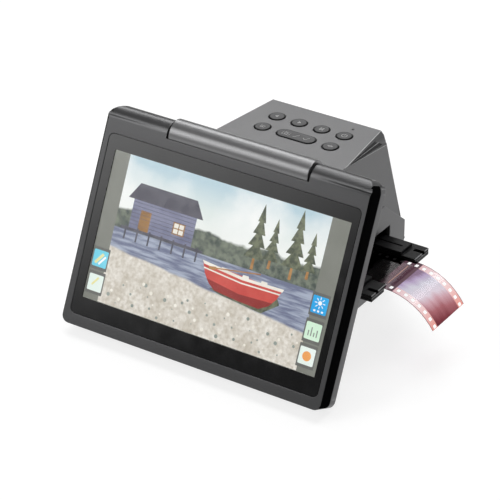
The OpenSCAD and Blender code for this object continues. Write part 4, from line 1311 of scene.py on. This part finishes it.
@dataclass
class RoundedCases:
    """Housings and small parts, as the solids with the rounded edges that mouldings have."""

    solids: Solids
    radii: dict[str, float] = field(default_factory=lambda: {
        "upper_housing": 0.35, "base_housing": 0.35, "hinge_barrel": 0.4, "barrel_caps": 0.2,
        "screen_bezel": 0.3, "screen_back_cover": 0.35, "screen_trim_left": 0.3,
        "screen_trim_right": 0.3, "hinge_arm_left": 0.2, "hinge_arm_right": 0.2, "hinge_pins": 0.3,
        "hinge_nuts": 0.2, "arm_screws": 0.2, "screen_screws": 0.15, "base_screws": 0.2,
        "rubber_feet": 0.5, "film_tray_base": 0.2, "film_tray_cover": 0.25, "tray_guide": 0.2,
        "tray_magnets": 0.15, "detent_magnets": 0.15, "lens_barrel": 0.2, "usb_socket": 0.12,
        "video_socket": 0.12, "card_socket": 0.12, "status_light": 0.1,
    })
    own_looks: dict[str, Look] = field(default_factory=lambda: {"hinge_barrel": Look.BARREL})
    corner_r: float = 1.6
    # second finishes: painted highlights on the deck-cut edges and tray ends, and the trim's black on the
    # bezel's sides
    second_looks: dict[str, Look] = field(default_factory=lambda: {
        "upper_housing": Look.EDGE, "film_tray_base": Look.GLINT, "film_tray_cover": Look.GLINT,
        "screen_bezel": Look.TRIM,
    })
    screen_shell: tuple[str, ...] = (
        "screen_bezel", "screen_trim_left", "screen_trim_right", "screen_back_cover",
    )
    screen_x: Point2 = (-1.0, 86.2)
    screen_foot: float = -120.7
    solid_r: float = 8.0
    shown_r: float = 4.5
    reach: Point2 = (4.5, 6.6)
    lip_r: float = 1.3
    lip_slope: float = 0.25
    deck_line_r: float = 0.25
    ledge_line_r: float = 0.35
    tray_ends: float = 75.0
    tray_line: float = 1.4
    level: float = 0.05
    upward: float = 0.9
    body_back: float = BODY_BACK
    back_edge: float = 8.0
    back_rise: float = 5.0
    back_side: float = 30.0
    cut_tip: Point3 = CUT_TIP
    cut_edge: float = 20.0
    cut_far: Point2 = (46.0, 44.0)
    near_tip: float = 2.0
    below_deck: float = 0.1
    ledge_x: float = 40.5
    ease_in: float = 36.4
    ease_slope: float = 0.99
    edge_share: float = 1.2

    def build(self) -> None:
        """Makes a rounded copy of each listed solid."""
        for node, radius in self.radii.items():
            blank = copy_of(node)
            second = self.second_looks.get(node)
            if node == "upper_housing":
                self.ease_cut_walls(blank)
                self.round_back_corners(blank)
                # painted highlight: the bright lines along the deck cuts' edges
                self.brighten(blank, self.cut_edges(blank, True), self.deck_line_r)
                self.brighten(blank, self.cut_edges(blank, False), self.ledge_line_r)
            elif node in self.screen_shell:
                self.tighten_corners(blank)
            # painted glint: the tray parts' upper end edges get a lighter finish
            elif second == Look.GLINT:
                self.brighten(blank, self.end_edges(blank), radius * self.tray_line)
            blank.bevel(outer_edges(blank.bm, radius * self.edge_share), radius)
            if node == "screen_bezel":
                self.hold_width(blank)
                self.blacken_sides(blank)
            slot = self.solids.slot_of(node)
            look = self.own_looks.get(node, self.solids.looks[slot])
            made = piece(blank, node + "_rounded", look.material, self.solids.body_of(node), (node,))
            if second:
                made.data.materials.append(second.material)

    def ease_cut_walls(self, blank: Blank) -> None:
        """Eases the top of each deck cut's wall with a flat that widens to the back.

        Args:
            blank: The upper housing.
        """
        tip = Vector(self.cut_tip)
        for side in (-1, 1):
            start = Vector((side * tip.x, tip.y, tip.z))
            along = Vector((side * self.ease_in, self.body_back, tip.z)) - start
            normal = along.cross(Vector((side * self.ease_slope, 0.0, -1.0)))
            cut = bmesh.ops.bisect_plane(
                blank.bm, geom=blank.whole, dist=CUT_MERGE, plane_co=start,
                plane_no=normal if normal.z > 0 else -normal, clear_outer=True,
            )
            rim = [e for e in cut["geom_cut"] if isinstance(e, BMEdge) and e.is_boundary]
            bmesh.ops.holes_fill(blank.bm, edges=rim, sides=0)
        blank.bm.normal_update()

    def round_back_corners(self, blank: Blank) -> None:
        """Gives the upper housing's upright back edges their larger radius.

        Args:
            blank: The upper housing.
        """
        chosen = [
            edge for edge in outer_edges(blank.bm, self.back_edge)
            if all(abs(v.co.y - self.body_back) < ON_PLANE and abs(v.co.x) > self.back_side
                   for v in edge.verts)
            and abs(edge.verts[0].co.z - edge.verts[1].co.z) > self.back_rise
        ]
        blank.bevel(chosen, self.corner_r, 4)
        blank.bm.normal_update()

    def cut_edges(self, blank: Blank, deck: bool) -> list[BMEdge]:
        """Finds the edges along the two deck cuts.

        Args:
            blank: The upper housing.
            deck: Whether to find the deck's own edges, or else those of the ledge under the cuts.

        Returns:
            The edges.
        """
        found = []
        for edge in outer_edges(blank.bm, self.cut_edge):
            near, far = sorted(edge.verts, key=lambda v: v.co.y)
            if far.co.y < self.cut_far[0] or far.co.z < self.cut_far[1]:
                continue
            at_tip = abs(near.co.y - self.cut_tip[1]) <= self.near_tip
            on_deck = far.co.z > self.cut_tip[2] - self.below_deck
            if at_tip and on_deck == deck and (deck or abs(far.co.x) > self.ledge_x):
                found.append(edge)
        return found

    def end_edges(self, blank: Blank) -> list[BMEdge]:
        """Finds the upper edges across the ends of a tray part.

        Args:
            blank: The tray part.

        Returns:
            The edges.
        """
        found = []
        for edge in outer_edges(blank.bm, 1.0):
            run = edge.verts[1].co - edge.verts[0].co
            across = abs(run.x) < self.level and abs(run.z) < self.level
            upper = max(face.normal.z for face in edge.link_faces) > self.upward
            if across and upper and abs(edge.verts[0].co.x) > self.tray_ends:
                found.append(edge)
        return found

    def tighten_corners(self, blank: Blank) -> None:
        """Draws the screen's two lower corners out to the radius that they show.

        Args:
            blank: A piece of the screen, in the part's frame.
        """
        place = screen_place()
        back = place.inverted()
        centre, half = self.screen_x
        inset = self.solid_r - self.shown_r
        for vert in blank.bm.verts:
            spot = back @ vert.co
            side = math.copysign(1.0, spot.x - centre)
            out = Vector((abs(spot.x - centre) - half + self.solid_r,
                          self.screen_foot + self.solid_r - spot.z))
            if min(out) <= 0 or out.length < self.reach[0]:
                continue
            way = out.normalized()
            middle = inset * (way.x + way.y)
            straight = self.solid_r / max(way)
            if min(way) * straight > inset:
                straight = middle + math.sqrt(middle ** 2 - 2 * inset ** 2 + self.shown_r ** 2)
            share = min((out.length - self.reach[0]) / (self.reach[1] - self.reach[0]), 1.0)
            out *= 1 + (straight / self.solid_r - 1) * share
            spot.x = centre + side * (half - self.solid_r + out.x)
            spot.z = self.screen_foot + self.solid_r - out.y
            vert.co = place @ spot
        blank.bm.normal_update()

    def hold_width(self, blank: Blank) -> None:
        """Keeps the rounded edges within the screen's width.

        Args:
            blank: The screen's front, in the part's frame.
        """
        centre, half = self.screen_x
        for vert in blank.bm.verts:
            vert.co.x = min(max(vert.co.x, centre - half), centre + half)

    def blacken_sides(self, blank: Blank) -> None:
        """Gives the faces at the screen's two sides the trim's finish.

        Args:
            blank: The screen's front, in the part's frame.
        """
        blank.bm.normal_update()
        reach = [v.co.x for v in blank.bm.verts]
        low, high = min(reach) + self.lip_r, max(reach) - self.lip_r
        for face in blank.bm.faces:
            at_side = not low < face.calc_center_median().x < high
            if at_side and abs(face.normal.x) > self.lip_slope:
                face.material_index = 1

    def brighten(self, blank: Blank, edges: Sequence[BMEdge], radius: float) -> None:
        """Rounds edges and gives the rounding the piece's second finish, a lighter colour that is a painted
        highlight on the edge.

        Args:
            blank: The piece in the making.
            edges: The edges.
            radius: Their new radius.
        """
        for face in blank.bevel(edges, radius, 3):
            face.material_index = 1
        blank.bm.normal_update()
        LOG.info("edges brightened: %d", len(edges))


@dataclass
class DeckCuts:
    """A dark sheet of painted shade and light ribs in the pockets of the cuts along the deck's side edges;
    the ribs take the painted edge highlight's colour.
    """

    tip: Point3 = CUT_TIP
    back_y: float = BODY_BACK
    wall_top: Point2 = (37.8, DECK_Z)
    wall_foot: Point2 = (40.0, 49.6)
    floor_y: Point2 = (7.3, 45.7)
    top_y: Point2 = (7.3, 37.7)
    pocket: Point2 = (0.07, 0.78)
    ribs: tuple[float, ...] = (0.44,)
    rib: float = 0.026
    sunk: Point2 = (1.05, 0.5)
    shade_sheet_in: float = 0.2
    rib_in: float = 0.0

    def ray(self, share: float, inset: float, y: float) -> Point3:
        """Returns a point of a line from the cut's tip to the back wall.

        Args:
            share: Place on the wall of the cut, from its foot to its top.
            inset: Distance into the wall at the back.
            y: How far back the point lies.

        Returns:
            The point.
        """
        x = self.wall_foot[0] + (self.wall_top[0] - self.wall_foot[0]) * share - inset
        z = self.wall_foot[1] + (self.wall_top[1] - self.wall_foot[1]) * share
        part = (y - self.tip[1]) / (self.back_y - self.tip[1])
        return (self.tip[0] + (x - self.tip[0]) * part, y, self.tip[2] + (z - self.tip[2]) * part)

    def depth(self, share: float) -> float:
        """Returns the pocket's depth at a place on the wall."""
        return self.sunk[0] + (self.sunk[1] - self.sunk[0]) * share

    def ends(self, share: float) -> Point2:
        """Returns where the pocket starts and ends at a place on the wall."""
        return (self.floor_y[0], self.floor_y[1] + (self.top_y[1] - self.floor_y[1]) * share)

    def wedge(self, low: float, high: float, inset: float) -> Blank:
        """Returns a wedge on the pocket's floor.

        Args:
            low: Its lower edge, as a share of the wall.
            high: Its upper edge, as a share of the wall.
            inset: How deep its face lies in the pocket at the back.

        Returns:
            The closed blank for the right side.
        """
        one = Blank()
        for share in (low, high):
            for y in self.ends(share):
                for depth in (self.depth(share), inset):
                    one.bm.verts.new(self.ray(share, depth, y))
        bmesh.ops.convex_hull(one.bm, input=one.bm.verts)
        return one

    def both(self, blank: Blank) -> Blank:
        """Adds the left side's copy to a blank and returns it."""
        bmesh.ops.mirror(blank.bm, geom=blank.whole, axis="X", merge_dist=MERGE_MM)
        return blank

    def build(self) -> None:
        """Makes the painted-shade sheets and the ribs on both sides."""
        shade_sheet = self.both(self.wedge(*self.pocket, self.shade_sheet_in))
        piece(shade_sheet, "deck_cut_painted_shade", Look.POCKET_SHADE.material, "root")
        # light ribs in the painted edge highlight's finish
        ribs = Blank()
        for share in self.ribs:
            ribs.add(self.wedge(share - self.rib, share + self.rib, self.rib_in))
        piece(self.both(ribs), "deck_cut_ribs", Look.EDGE.material, "root")


@dataclass
class Buttons:
    """The seven caps on the deck, with a dished face and a printed mark each."""

    top_z: float = DECK_Z + 0.4
    dish: float = 0.14
    dish_slope: float = 0.25
    rim: float = 0.55
    rim_r: float = 0.3
    shortest: float = 0.05
    print_t: float = 0.06
    print_sunk: float = 0.02
    line: float = 0.35
    line_r: float = 0.1
    tile: float = 1.1
    tile_r: float = 0.2
    tile_step: float = 0.75
    spots: dict[str, Point2] = field(default_factory=lambda: {
        "button_left": (-22.5, 32.7), "button_right": (-7.5, 32.7), "button_mode": (7.5, 32.7),
        "button_power": (22.5, 32.7), "button_gallery": (-22.5, 17.4), "button_capture": (0.0, 17.4),
        "button_flip": (22.5, 17.4),
    })

    def build(self) -> None:
        """Makes every cap and its mark."""
        marks: dict[str, Callable[[], Blank]] = {
            "button_left": lambda: self.arrow(-1), "button_right": lambda: self.arrow(1),
            "button_mode": self.tiles, "button_power": self.power, "button_gallery": self.frame_mark,
            "button_capture": self.camera_mark, "button_flip": self.flip_mark,
        }
        for name, spot in self.spots.items():
            self.cap(name)
            place = Matrix.Translation((*spot, self.top_z - self.dish - self.print_sunk))
            piece(marks[name]().move(place), name + "_mark", Look.PRINT.material, name + "_body")

    def cap(self, name: str) -> None:
        """Makes one cap: a rounded rim round a slightly sunk face. The rim and the cap's sides take a
        darker finish, painted shade for the gap round the cap.

        Args:
            name: The button's solid.
        """
        blank = copy_of(name)
        top = max(blank.bm.faces, key=lambda f: f.calc_center_median().z)
        bmesh.ops.inset_region(blank.bm, faces=[top], thickness=self.rim, depth=0.0)
        slope = bmesh.ops.inset_region(blank.bm, faces=[top], thickness=self.dish_slope, depth=-self.dish)
        sunk = [top, *slope["faces"]]
        # painted shade: every face but the sunk face gets the dark rim finish
        for face in blank.bm.faces:
            face.material_index = int(face not in sunk)
        edges = [
            edge for edge in outer_edges(blank.bm, self.shortest)
            if all(v.co.z > self.top_z - ON_PLANE for v in edge.verts)
        ]
        blank.bevel(edges, self.rim_r, 3)
        cap = piece(blank, name + "_cap", Look.BUTTON.material, name + "_body", (name,))
        cap.data.materials.append(Look.BUTTON_RIM_SHADE.material)

    def arrow(self, way: int) -> Blank:
        """Returns an arrowhead that points left (-1) or right (1)."""
        points = [(way * 1.3, 0), (way * -0.7, 1.3), (way * -0.7, -1.3)]
        return shape(points if way < 0 else points[::-1], self.print_t)

    def bars(self, size: Point2, spots: Sequence[Point2]) -> Blank:
        """Returns like bars, one at each spot.

        Args:
            size: Their size across and upwards.
            spots: Their middles.

        Returns:
            The closed blank.
        """
        blank = Blank()
        for spot in spots:
            blank.add(rounded(*size, self.line_r, self.print_t, spot))
        return blank

    def tiles(self) -> Blank:
        """Draws four small tiles.

        Returns:
            The closed blank.
        """
        blank = Blank()
        for x in (-self.tile_step, self.tile_step):
            for y in (-self.tile_step, self.tile_step):
                blank.add(rounded(self.tile, self.tile, self.tile_r, self.print_t, (x, y)))
        return blank

    def power(self) -> Blank:
        """Returns the power mark: an open ring with a bar."""
        mark = ring(1.75, 1.35, self.print_t, start=115, sweep=310)
        return mark.add(rounded(0.4, 1.6, self.line_r, self.print_t, (0, 1.15)))

    def frame_mark(self) -> Blank:
        """Draws a small picture in its frame.

        Returns:
            The closed blank.
        """
        mark = self.bars((2.9, self.line), ((0, 1.0), (0, -1.0)))
        mark.add(self.bars((self.line, 2.3), ((-1.28, 0), (1.28, 0))))
        return mark.add(shape([(-0.9, -0.65), (0.9, -0.65), (0.1, 0.5)], self.print_t))

    def camera_mark(self) -> Blank:
        """Draws a camera, a slash and a tick.

        Returns:
            The closed blank.
        """
        mark = ring(1.25, 0.85, self.print_t, (-6.6, 0))
        mark.add(self.bars((4.6, self.line), ((-6.6, 1.6), (-6.6, -1.6))))
        mark.add(self.bars((self.line, 3.5), ((-8.9, 0), (-4.3, 0))))
        strokes = ((0.4, 4.4, (0, 0), -35), (0.5, 1.9, (5.3, -0.5), 45), (0.5, 3.9, (7.0, 0.1), -35))
        for wide, tall, spot, turn in strokes:
            mark.add(rounded(wide, tall, 0.15, self.print_t, spot, turn))
        return mark

    def flip_mark(self) -> Blank:
        """Draws two arrowheads that point away from a line between them.

        Returns:
            The closed blank.
        """
        mark = rounded(0.3, 3.0, self.line_r, self.print_t)
        mark.add(shape([(-0.5, -1.0), (-0.5, 1.0), (-1.8, 0)], self.print_t))
        return mark.add(shape([(0.5, 1.0), (0.5, -1.0), (1.8, 0)], self.print_t))


@dataclass
class Display:
    """The cover glass, its printed border, and the generic picture on the panel."""

    glass_mid: Point2 = (-0.6, -61.7)
    glass_size: Point2 = (164.0, 104.4)
    glass_front: float = -7.85
    glass_t: float = 0.95
    corner_r: float = 3.0
    window_r: float = 0.05
    ground_r: float = 0.2
    in_line: float = 0.01
    least_border: float = 1.0
    panel_face: float = -6.65
    lit_mid: Point2 = (0.0, -60.7)
    lit_half: Point2 = (77.1, 42.95)
    leaf: float = 0.012
    sheet_r: float = 0.1
    scenery_w: float = 132.0
    icon: float = 9.6
    slant: float = -38.0

    @property
    def lit_size(self) -> Point2:
        """Width and height of the lit area."""
        return (2 * self.lit_half[0], 2 * self.lit_half[1])

    def build(self) -> None:
        """Makes glass, border, picture and icons."""
        self.glass()
        self.border()
        self.picture()
        self.icons()

    def lay(self, blank: Blank, name: str, colour: Picture, layer: int) -> None:
        """Puts a flat shape on the panel.

        Args:
            blank: The shape, measured from the lit area's middle.
            name: The piece's name.
            colour: Its colour.
            layer: How many leaves lie under it.
        """
        depth = self.panel_face - self.leaf * (layer + 0.5)
        place = screen_flat(depth) @ Matrix.Translation((self.lit_mid[0], self.lit_mid[1], 0))
        piece(blank.move(place), name, colour.material, "screen")

    def glass(self) -> None:
        """Makes the clear window of the cover glass."""
        blank = rounded(*self.lit_size, self.window_r, self.glass_t, self.lit_mid)
        place = screen_flat(self.glass_front + self.glass_t)
        piece(blank.move(place), "clear_window", Look.GLASS.material, "screen")

    def border(self) -> None:
        """Makes the black printed border of the cover glass, with its window and ground edges."""
        blank = Blank()
        outer = [blank.bm.verts.new((x, y, 0)) for x, y in self.corners(self.glass_mid, self.glass_size)]
        inner = [blank.bm.verts.new((x, y, 0)) for x, y in self.corners(self.lit_mid, self.lit_size)]
        for i in range(4):
            j = (i + 1) % 4
            blank.bm.faces.new((outer[i], outer[j], inner[j], inner[i]))
        blank.round_corners(outer, self.corner_r)
        bmesh.ops.dissolve_limit(blank.bm, angle_limit=self.in_line, verts=blank.bm.verts,
                                 edges=blank.bm.edges)
        blank.thicken(self.glass_t)
        rim = [
            edge for edge in blank.bm.edges
            if all(v.co.z > self.glass_t / 2 for v in edge.verts) and self.on_outline(edge)
        ]
        blank.bevel(rim, self.ground_r, clamp=True)
        place = screen_flat(self.glass_front + self.glass_t)
        piece(blank.move(place), "printed_glass_border", Look.BORDER.material, "screen",
              ("screen_glass",))

    def corners(self, middle: Point2, size: Point2) -> list[Point2]:
        """Returns a rectangle's corners, anticlockwise."""
        x, y = size[0] / 2, size[1] / 2
        return [(middle[0] + a * x, middle[1] + b * y) for a, b in ((-1, -1), (1, -1), (1, 1), (-1, 1))]

    def on_outline(self, edge: BMEdge) -> bool:
        """Tells whether an edge of the border's top runs along the glass's outline.

        Args:
            edge: The edge.

        Returns:
            Whether it does.
        """
        spot = (edge.verts[0].co + edge.verts[1].co) / 2
        across = abs(spot.x - self.lit_mid[0]) > self.lit_half[0] + self.least_border
        return across or abs(spot.y - self.lit_mid[1]) > self.lit_half[1] + self.least_border

    def picture(self) -> None:
        """Makes the lit panel with a generic lakeside scene."""
        flat = self.leaf
        width, height = self.lit_size
        self.lay(rounded(width, height, self.sheet_r, flat), "lit_margin", Picture.MARGIN, 0)
        scenery = rounded(self.scenery_w, height - 0.4, self.sheet_r, flat, (-1, 0))
        self.lay(scenery, "lit_scenery", Picture.SCENERY, 1)
        self.lay(oblong((-58, 3), (-16, 20), flat), "lit_boathouse", Picture.WALL, 2)
        self.lay(shape([(-62, 19.5), (-12, 19.5), (-18, 29), (-56, 29)], flat), "lit_roof", Picture.ROOF, 3)
        doors = oblong((-52, 3), (-45, 14.5), flat).add(oblong((-30, 7), (-22, 14), flat))
        self.lay(doors, "lit_doors", Picture.DOOR, 3)
        self.pines()
        self.jetty()
        self.stones()
        self.boat()

    def pines(self) -> None:
        """Makes the pines beside the water: four tiers each, on a tapering trunk."""
        flat = self.leaf
        trees = Blank()
        trunks = Blank()
        for x, low, tall in ((24, 2, 34), (34, 5, 26), (48, 3, 36), (58, 6, 24)):
            for tier in range(4):
                base = low + tall * (0.18 + 0.2 * tier)
                half = tall * (0.2 - 0.042 * tier)
                trees.add(shape([(x - half, base), (x + half, base), (x, base + tall * 0.3)], flat))
            top = low + tall * 0.22
            trunks.add(shape([(x - 0.9, low), (x + 0.9, low), (x + 0.7, top), (x - 0.7, top)], flat))
        self.lay(trunks, "lit_trunks", Picture.TRUNK, 2)
        self.lay(trees, "lit_pines", Picture.TREE, 3)

    def boat(self) -> None:
        """Makes the red rowing boat at the water's edge, with its shadow, seats and oars."""
        flat = self.leaf
        shadow = shape([(1, -15.0), (8, -16.8), (36, -19.4), (46, -12), (44, -9)], flat)
        self.lay(shadow, "lit_boat_shadow", Picture.TREE, 2)
        keel = [(0.5, -12.8), (4.6, -15.5), (20, -17), (34, -17.5), (39.5, -14.4)]
        hull = [(-6, -2), (-3.4, -8), *keel, (43.4, -9.6), (46, -4)]
        self.lay(shape(hull, flat), "lit_boat", Picture.HULL, 3)
        low = [(-1.8, -10.3), *keel, (41.6, -12.2), (20, -13.2)]
        self.lay(shape(low, flat), "lit_boat_shade", Picture.HULL_DARK, 4)
        stripe = [(-4.7, -5.4), (20, -7.4), (44.7, -6.8), (45.1, -6.0), (20, -6.6), (-5.0, -4.6)]
        rail = [(-6.6, -1.2), (-5.2, -3.0), (20, -5.2), (46, -4.8), (46.8, -3.0), (20, -3.6)]
        trim = shape(stripe, flat).add(shape(rail, flat))
        for x, y in ((8, -2.9), (22, -3.3), (34, -3.3)):
            seat = [(x - 2.4, y - 1), (x + 2.4, y - 1), (x + 1.8, y + 1.1), (x - 1.8, y + 1.1)]
            trim.add(shape(seat, flat))
        self.lay(trim, "lit_boat_trim", Picture.SEAT, 5)
        oars = rounded(30, 0.7, 0.3, flat, (16, -1.4), turn=9)
        oars.add(rounded(5, 1.7, 0.7, flat, (0.6, -3.9), turn=9))
        self.lay(oars, "lit_oars", Picture.TRUNK, 6)

    def jetty(self) -> None:
        """Makes the jetty, and the planks and panes of the boathouse."""
        flat = self.leaf
        posts = Blank()
        for x in range(-60, -11, 8):
            posts.add(oblong((x, -4), (x + 1.1, 4), flat))
        posts.add(oblong((-63, 1.6), (-8, 3.2), flat))
        self.lay(posts, "lit_jetty", Picture.ROOF, 4)
        planks = Blank()
        for row in range(7):
            y = 5.4 + row * 2.1
            planks.add(oblong((-58, y), (-16, y + 0.25), flat))
        self.lay(planks, "lit_planks", Picture.ROOF, 3)
        panes = Blank()
        for x in (-29.2, -25.7):
            for y in (7.7, 10.8):
                panes.add(oblong((x, y), (x + 2.9, y + 2.5), flat))
        self.lay(panes, "lit_panes", Picture.SEAT, 5)

    def stones(self) -> None:
        """Makes stones and pebbles on the shore, spread by steps that never line up."""
        flat = self.leaf
        groups = (("lit_stones", Picture.GREY, 34, 3), ("lit_pebbles", Picture.SEAT, 30, 7))
        for name, colour, count, first in groups:
            group = Blank()
            for step in range(count):
                x = -62 + (first * 17.3 + step * 47.9) % 124
                y = -41 + (first * 5.1 + step * 8.7) % 17
                size = 0.35 + 0.13 * ((step * 5 + first) % 7)
                group.add(disc(size, flat, (x, y), 10))
            self.lay(group, name, colour, 3)

    def icons(self) -> None:
        """Makes the five square marks at the sides of the picture."""
        flat = self.leaf
        size = self.icon
        grid = {
            "lit_icon_a": ((-71.3, -19.1), Picture.CYAN), "lit_icon_b": ((-71.0, -33.1), Picture.PALE),
            "lit_icon_c": ((69.7, -4.9), Picture.BLUE), "lit_icon_d": ((69.5, -19.6), Picture.MINT),
            "lit_icon_e": ((69.3, -33.5), Picture.PALE),
        }
        shadow = Blank()
        for spot, _ in grid.values():
            shadow.add(rounded(size + 1.6, size + 3.4, 0.4, flat, spot))
        self.lay(shadow, "lit_icon_grounds", Picture.MARGIN_DARK, 2)
        for name, (spot, colour) in grid.items():
            self.lay(rounded(size, size, 0.7, flat, spot), name, colour, 3)
        bars = rounded(1.7, 7.5, 0.4, flat, (-71.9, -19.1), self.slant)
        bars.add(rounded(1.2, 6.0, 0.3, flat, (-71.3, -32.2), self.slant))
        self.lay(bars, "lit_mark_bars", Picture.YELLOW, 4)
        fine = rounded(1.2, 6.4, 0.3, flat, (-69.8, -19.9), self.slant).add(self.sun((69.7, -3.8)))
        for x in (-2.4, 0.0, 2.4):
            fine.add(rounded(1.3, 1.1, 0.3, flat, (69.7 + x, -8.3)))
        self.lay(fine, "lit_mark_white", Picture.WHITE, 4)
        lines = Blank()
        for x, tall in ((-2.6, 3.0), (-0.9, 5.0), (0.9, 2.4), (2.6, 4.0)):
            lines.add(rounded(0.7, tall, 0.2, flat, (69.5 + x, -22.4 + tall / 2)))
        self.lay(lines, "lit_mark_lines", Picture.GREY, 4)
        self.lay(disc(2.7, flat, (69.3, -33.5)), "lit_mark_disc", Picture.ORANGE, 4)

    def sun(self, middle: Point2) -> Blank:
        """Returns a disc with eight rays.

        Args:
            middle: Place of its middle.

        Returns:
            The closed blank.
        """
        mark = Blank()
        for turn in range(0, 360, 45):
            way = math.radians(turn)
            spot = (middle[0] + 2.5 * math.cos(way), middle[1] + 2.5 * math.sin(way))
            mark.add(rounded(1.5, 0.45, 0.1, self.leaf, spot, turn))
        return mark.add(disc(1.2, self.leaf, middle))


@dataclass
class FilmStrip:
    """The perforated strip, straight in the tray and curling down at its free end."""

    left: float = 78.0
    bend_x: float = 80.0
    curl_r: float = 36.8
    curl: float = 57.5
    width: float = 35.0
    thick: float = 0.15
    pitch: float = 4.75
    first_cell: float = 1.25
    cells: int = 41
    hole: Point2 = (1.98, 2.8)
    hole_row: float = 14.085
    hole_r: float = 0.5
    lane: float = 12.0
    smooth: float = 40.0
    merge: float = 0.001

    @property
    def length(self) -> float:
        """Length along the strip."""
        return self.left + self.bend_x + self.curl_r * math.radians(self.curl)

    def cell(self, width: float) -> Blank:
        """Returns a stretch of the strip, flat, with its two holes.

        Args:
            width: Its length along the strip.

        Returns:
            The flat blank, which starts at 0.
        """
        blank = Blank()
        side_y = self.width / 2
        for side in (-1, 1):
            middle = Vector((self.pitch / 2, side * self.hole_row))
            rim = rounded(*self.hole, self.hole_r, 1.0, middle)
            loop = [v.co.copy() for v in rim.bm.verts if v.co.z < 0.5]
            rim.bm.free()
            loop.sort(key=lambda p: math.atan2(p.y - middle.y, p.x - middle.x))
            border = ((0, self.lane), (width, self.lane), (width, side_y), (0, side_y))
            edges = self.outline(blank.bm, [(x, side * y) for x, y in border])
            edges += self.outline(blank.bm, [(p.x, p.y) for p in loop])
            bmesh.ops.triangle_fill(blank.bm, edges=edges, use_beauty=True)
        self.lanes(blank, self.middle_lanes, 0.0, width)
        return blank

    def outline(self, bm: BMesh, points: Sequence[Point2]) -> list[BMEdge]:
        """Adds a closed outline.

        Args:
            bm: The mesh.
            points: The outline's corners in order.

        Returns:
            Its edges.
        """
        verts = [bm.verts.new((x, y, 0)) for x, y in points]
        return [bm.edges.new(pair) for pair in zip(verts, verts[1:] + verts[:1])]

    @property
    def middle_lanes(self) -> tuple[float, ...]:
        """Borders of the lanes between the two rows of holes."""
        return (-self.lane, -self.lane / 2, 0.0, self.lane / 2, self.lane)

    def lanes(self, blank: Blank, borders: Sequence[float], start: float, end: float) -> None:
        """Adds lanes side by side along the strip.

        Args:
            blank: The strip in the making.
            borders: The lanes' borders across the strip.
            start: Where they begin.
            end: Where they end.
        """
        for low, high in zip(borders, borders[1:]):
            blank.lay_face(((start, low), (end, low), (end, high), (start, high)))

    def plain(self, start: float, end: float) -> Blank:
        """Makes a stretch of the strip without holes.

        Args:
            start: Where it begins.
            end: Where it ends.

        Returns:
            The flat blank.
        """
        blank = Blank()
        side_y = self.width / 2
        for borders in ((-side_y, -self.lane), (self.lane, side_y), self.middle_lanes):
            self.lanes(blank, borders, start, end)
        return blank

    def bend(self, spot: Vector) -> Vector:
        """Bends a point of the flat strip.

        Args:
            spot: The point on the flat strip.

        Returns:
            Where it comes to lie.
        """
        past = spot.x - self.left - self.bend_x
        if past <= 0:
            return Vector((spot.x - self.left, spot.y, spot.z))
        turn = past / self.curl_r
        reach = self.curl_r + spot.z
        return Vector((self.bend_x + reach * math.sin(turn), spot.y, reach * math.cos(turn) - self.curl_r))

    def build(self) -> None:
        """Makes the strip."""
        strip = self.plain(0.0, self.first_cell)
        for step in range(self.cells):
            start = self.first_cell + step * self.pitch
            width = min(self.pitch, self.length - start)
            strip.add(self.cell(width).move(Matrix.Translation((start, 0, 0))))
        bm = strip.bm
        bmesh.ops.remove_doubles(bm, verts=bm.verts, dist=self.merge)
        bmesh.ops.recalc_face_normals(bm, faces=bm.faces)
        strip.thicken(self.thick)
        layer = bm.loops.layers.uv.new("UVMap")
        for face in bm.faces:
            for loop in face.loops:
                spot = loop.vert.co
                loop[layer].uv = (spot.x / self.length, spot.y / self.width + 0.5)
        for vert in bm.verts:
            vert.co = self.bend(vert.co - Vector((0, 0, self.thick / 2)))
        piece(strip, "negative_strip", Look.FILM.material, "film", ("film_strip",), self.smooth)


@dataclass
class RearSockets:
    """Contact tongues inside the sockets of the back wall."""

    socket_z: float = -32.0
    tongues: tuple[tuple[float, float, float], ...] = ((-22.0, 6.2, 0.7), (-5.0, 11.0, 1.1))
    tongue_y: float = 46.1
    tongue_l: float = 4.6
    tongue_r: float = 0.2
    card_x: float = 16.0
    pad_count: int = 8
    pad_pitch: float = 2.5
    pad: tuple[float, float, float, float] = (1.3, 3.6, 0.1, 0.08)
    pad_y: float = 45.8
    pad_drop: float = 1.12

    def build(self) -> None:
        """Makes a tongue for each of the two cable sockets and the contacts of the card socket."""
        tongues = Blank()
        for x, wide, tall in self.tongues:
            plate = rounded(wide, self.tongue_l, self.tongue_r, tall, (x, self.tongue_y))
            tongues.add(plate.move(Matrix.Translation((0, 0, self.socket_z - tall / 2))))
        piece(tongues, "socket_tongues", Look.INNER.material, "root")
        pads = Blank()
        for step in range(self.pad_count):
            x = self.card_x + (step - (self.pad_count - 1) / 2) * self.pad_pitch
            pad = rounded(*self.pad, (x, self.pad_y))
            pads.add(pad.move(Matrix.Translation((0, 0, self.socket_z - self.pad_drop))))
        piece(pads, "card_contacts", Look.MAGNET.material, "root")


def main() -> None:
    """Builds the scanner's looks in order."""
    logging.basicConfig(level=logging.INFO, format="%(name)s %(message)s")
    Studio().build()
    solids = Solids()
    solids.dress()
    RoundedCases(solids).build()
    DeckCuts().build()
    Buttons().build()
    Display().build()
    FilmStrip().build()
    RearSockets().build()


if __name__ == "__main__":
    main()
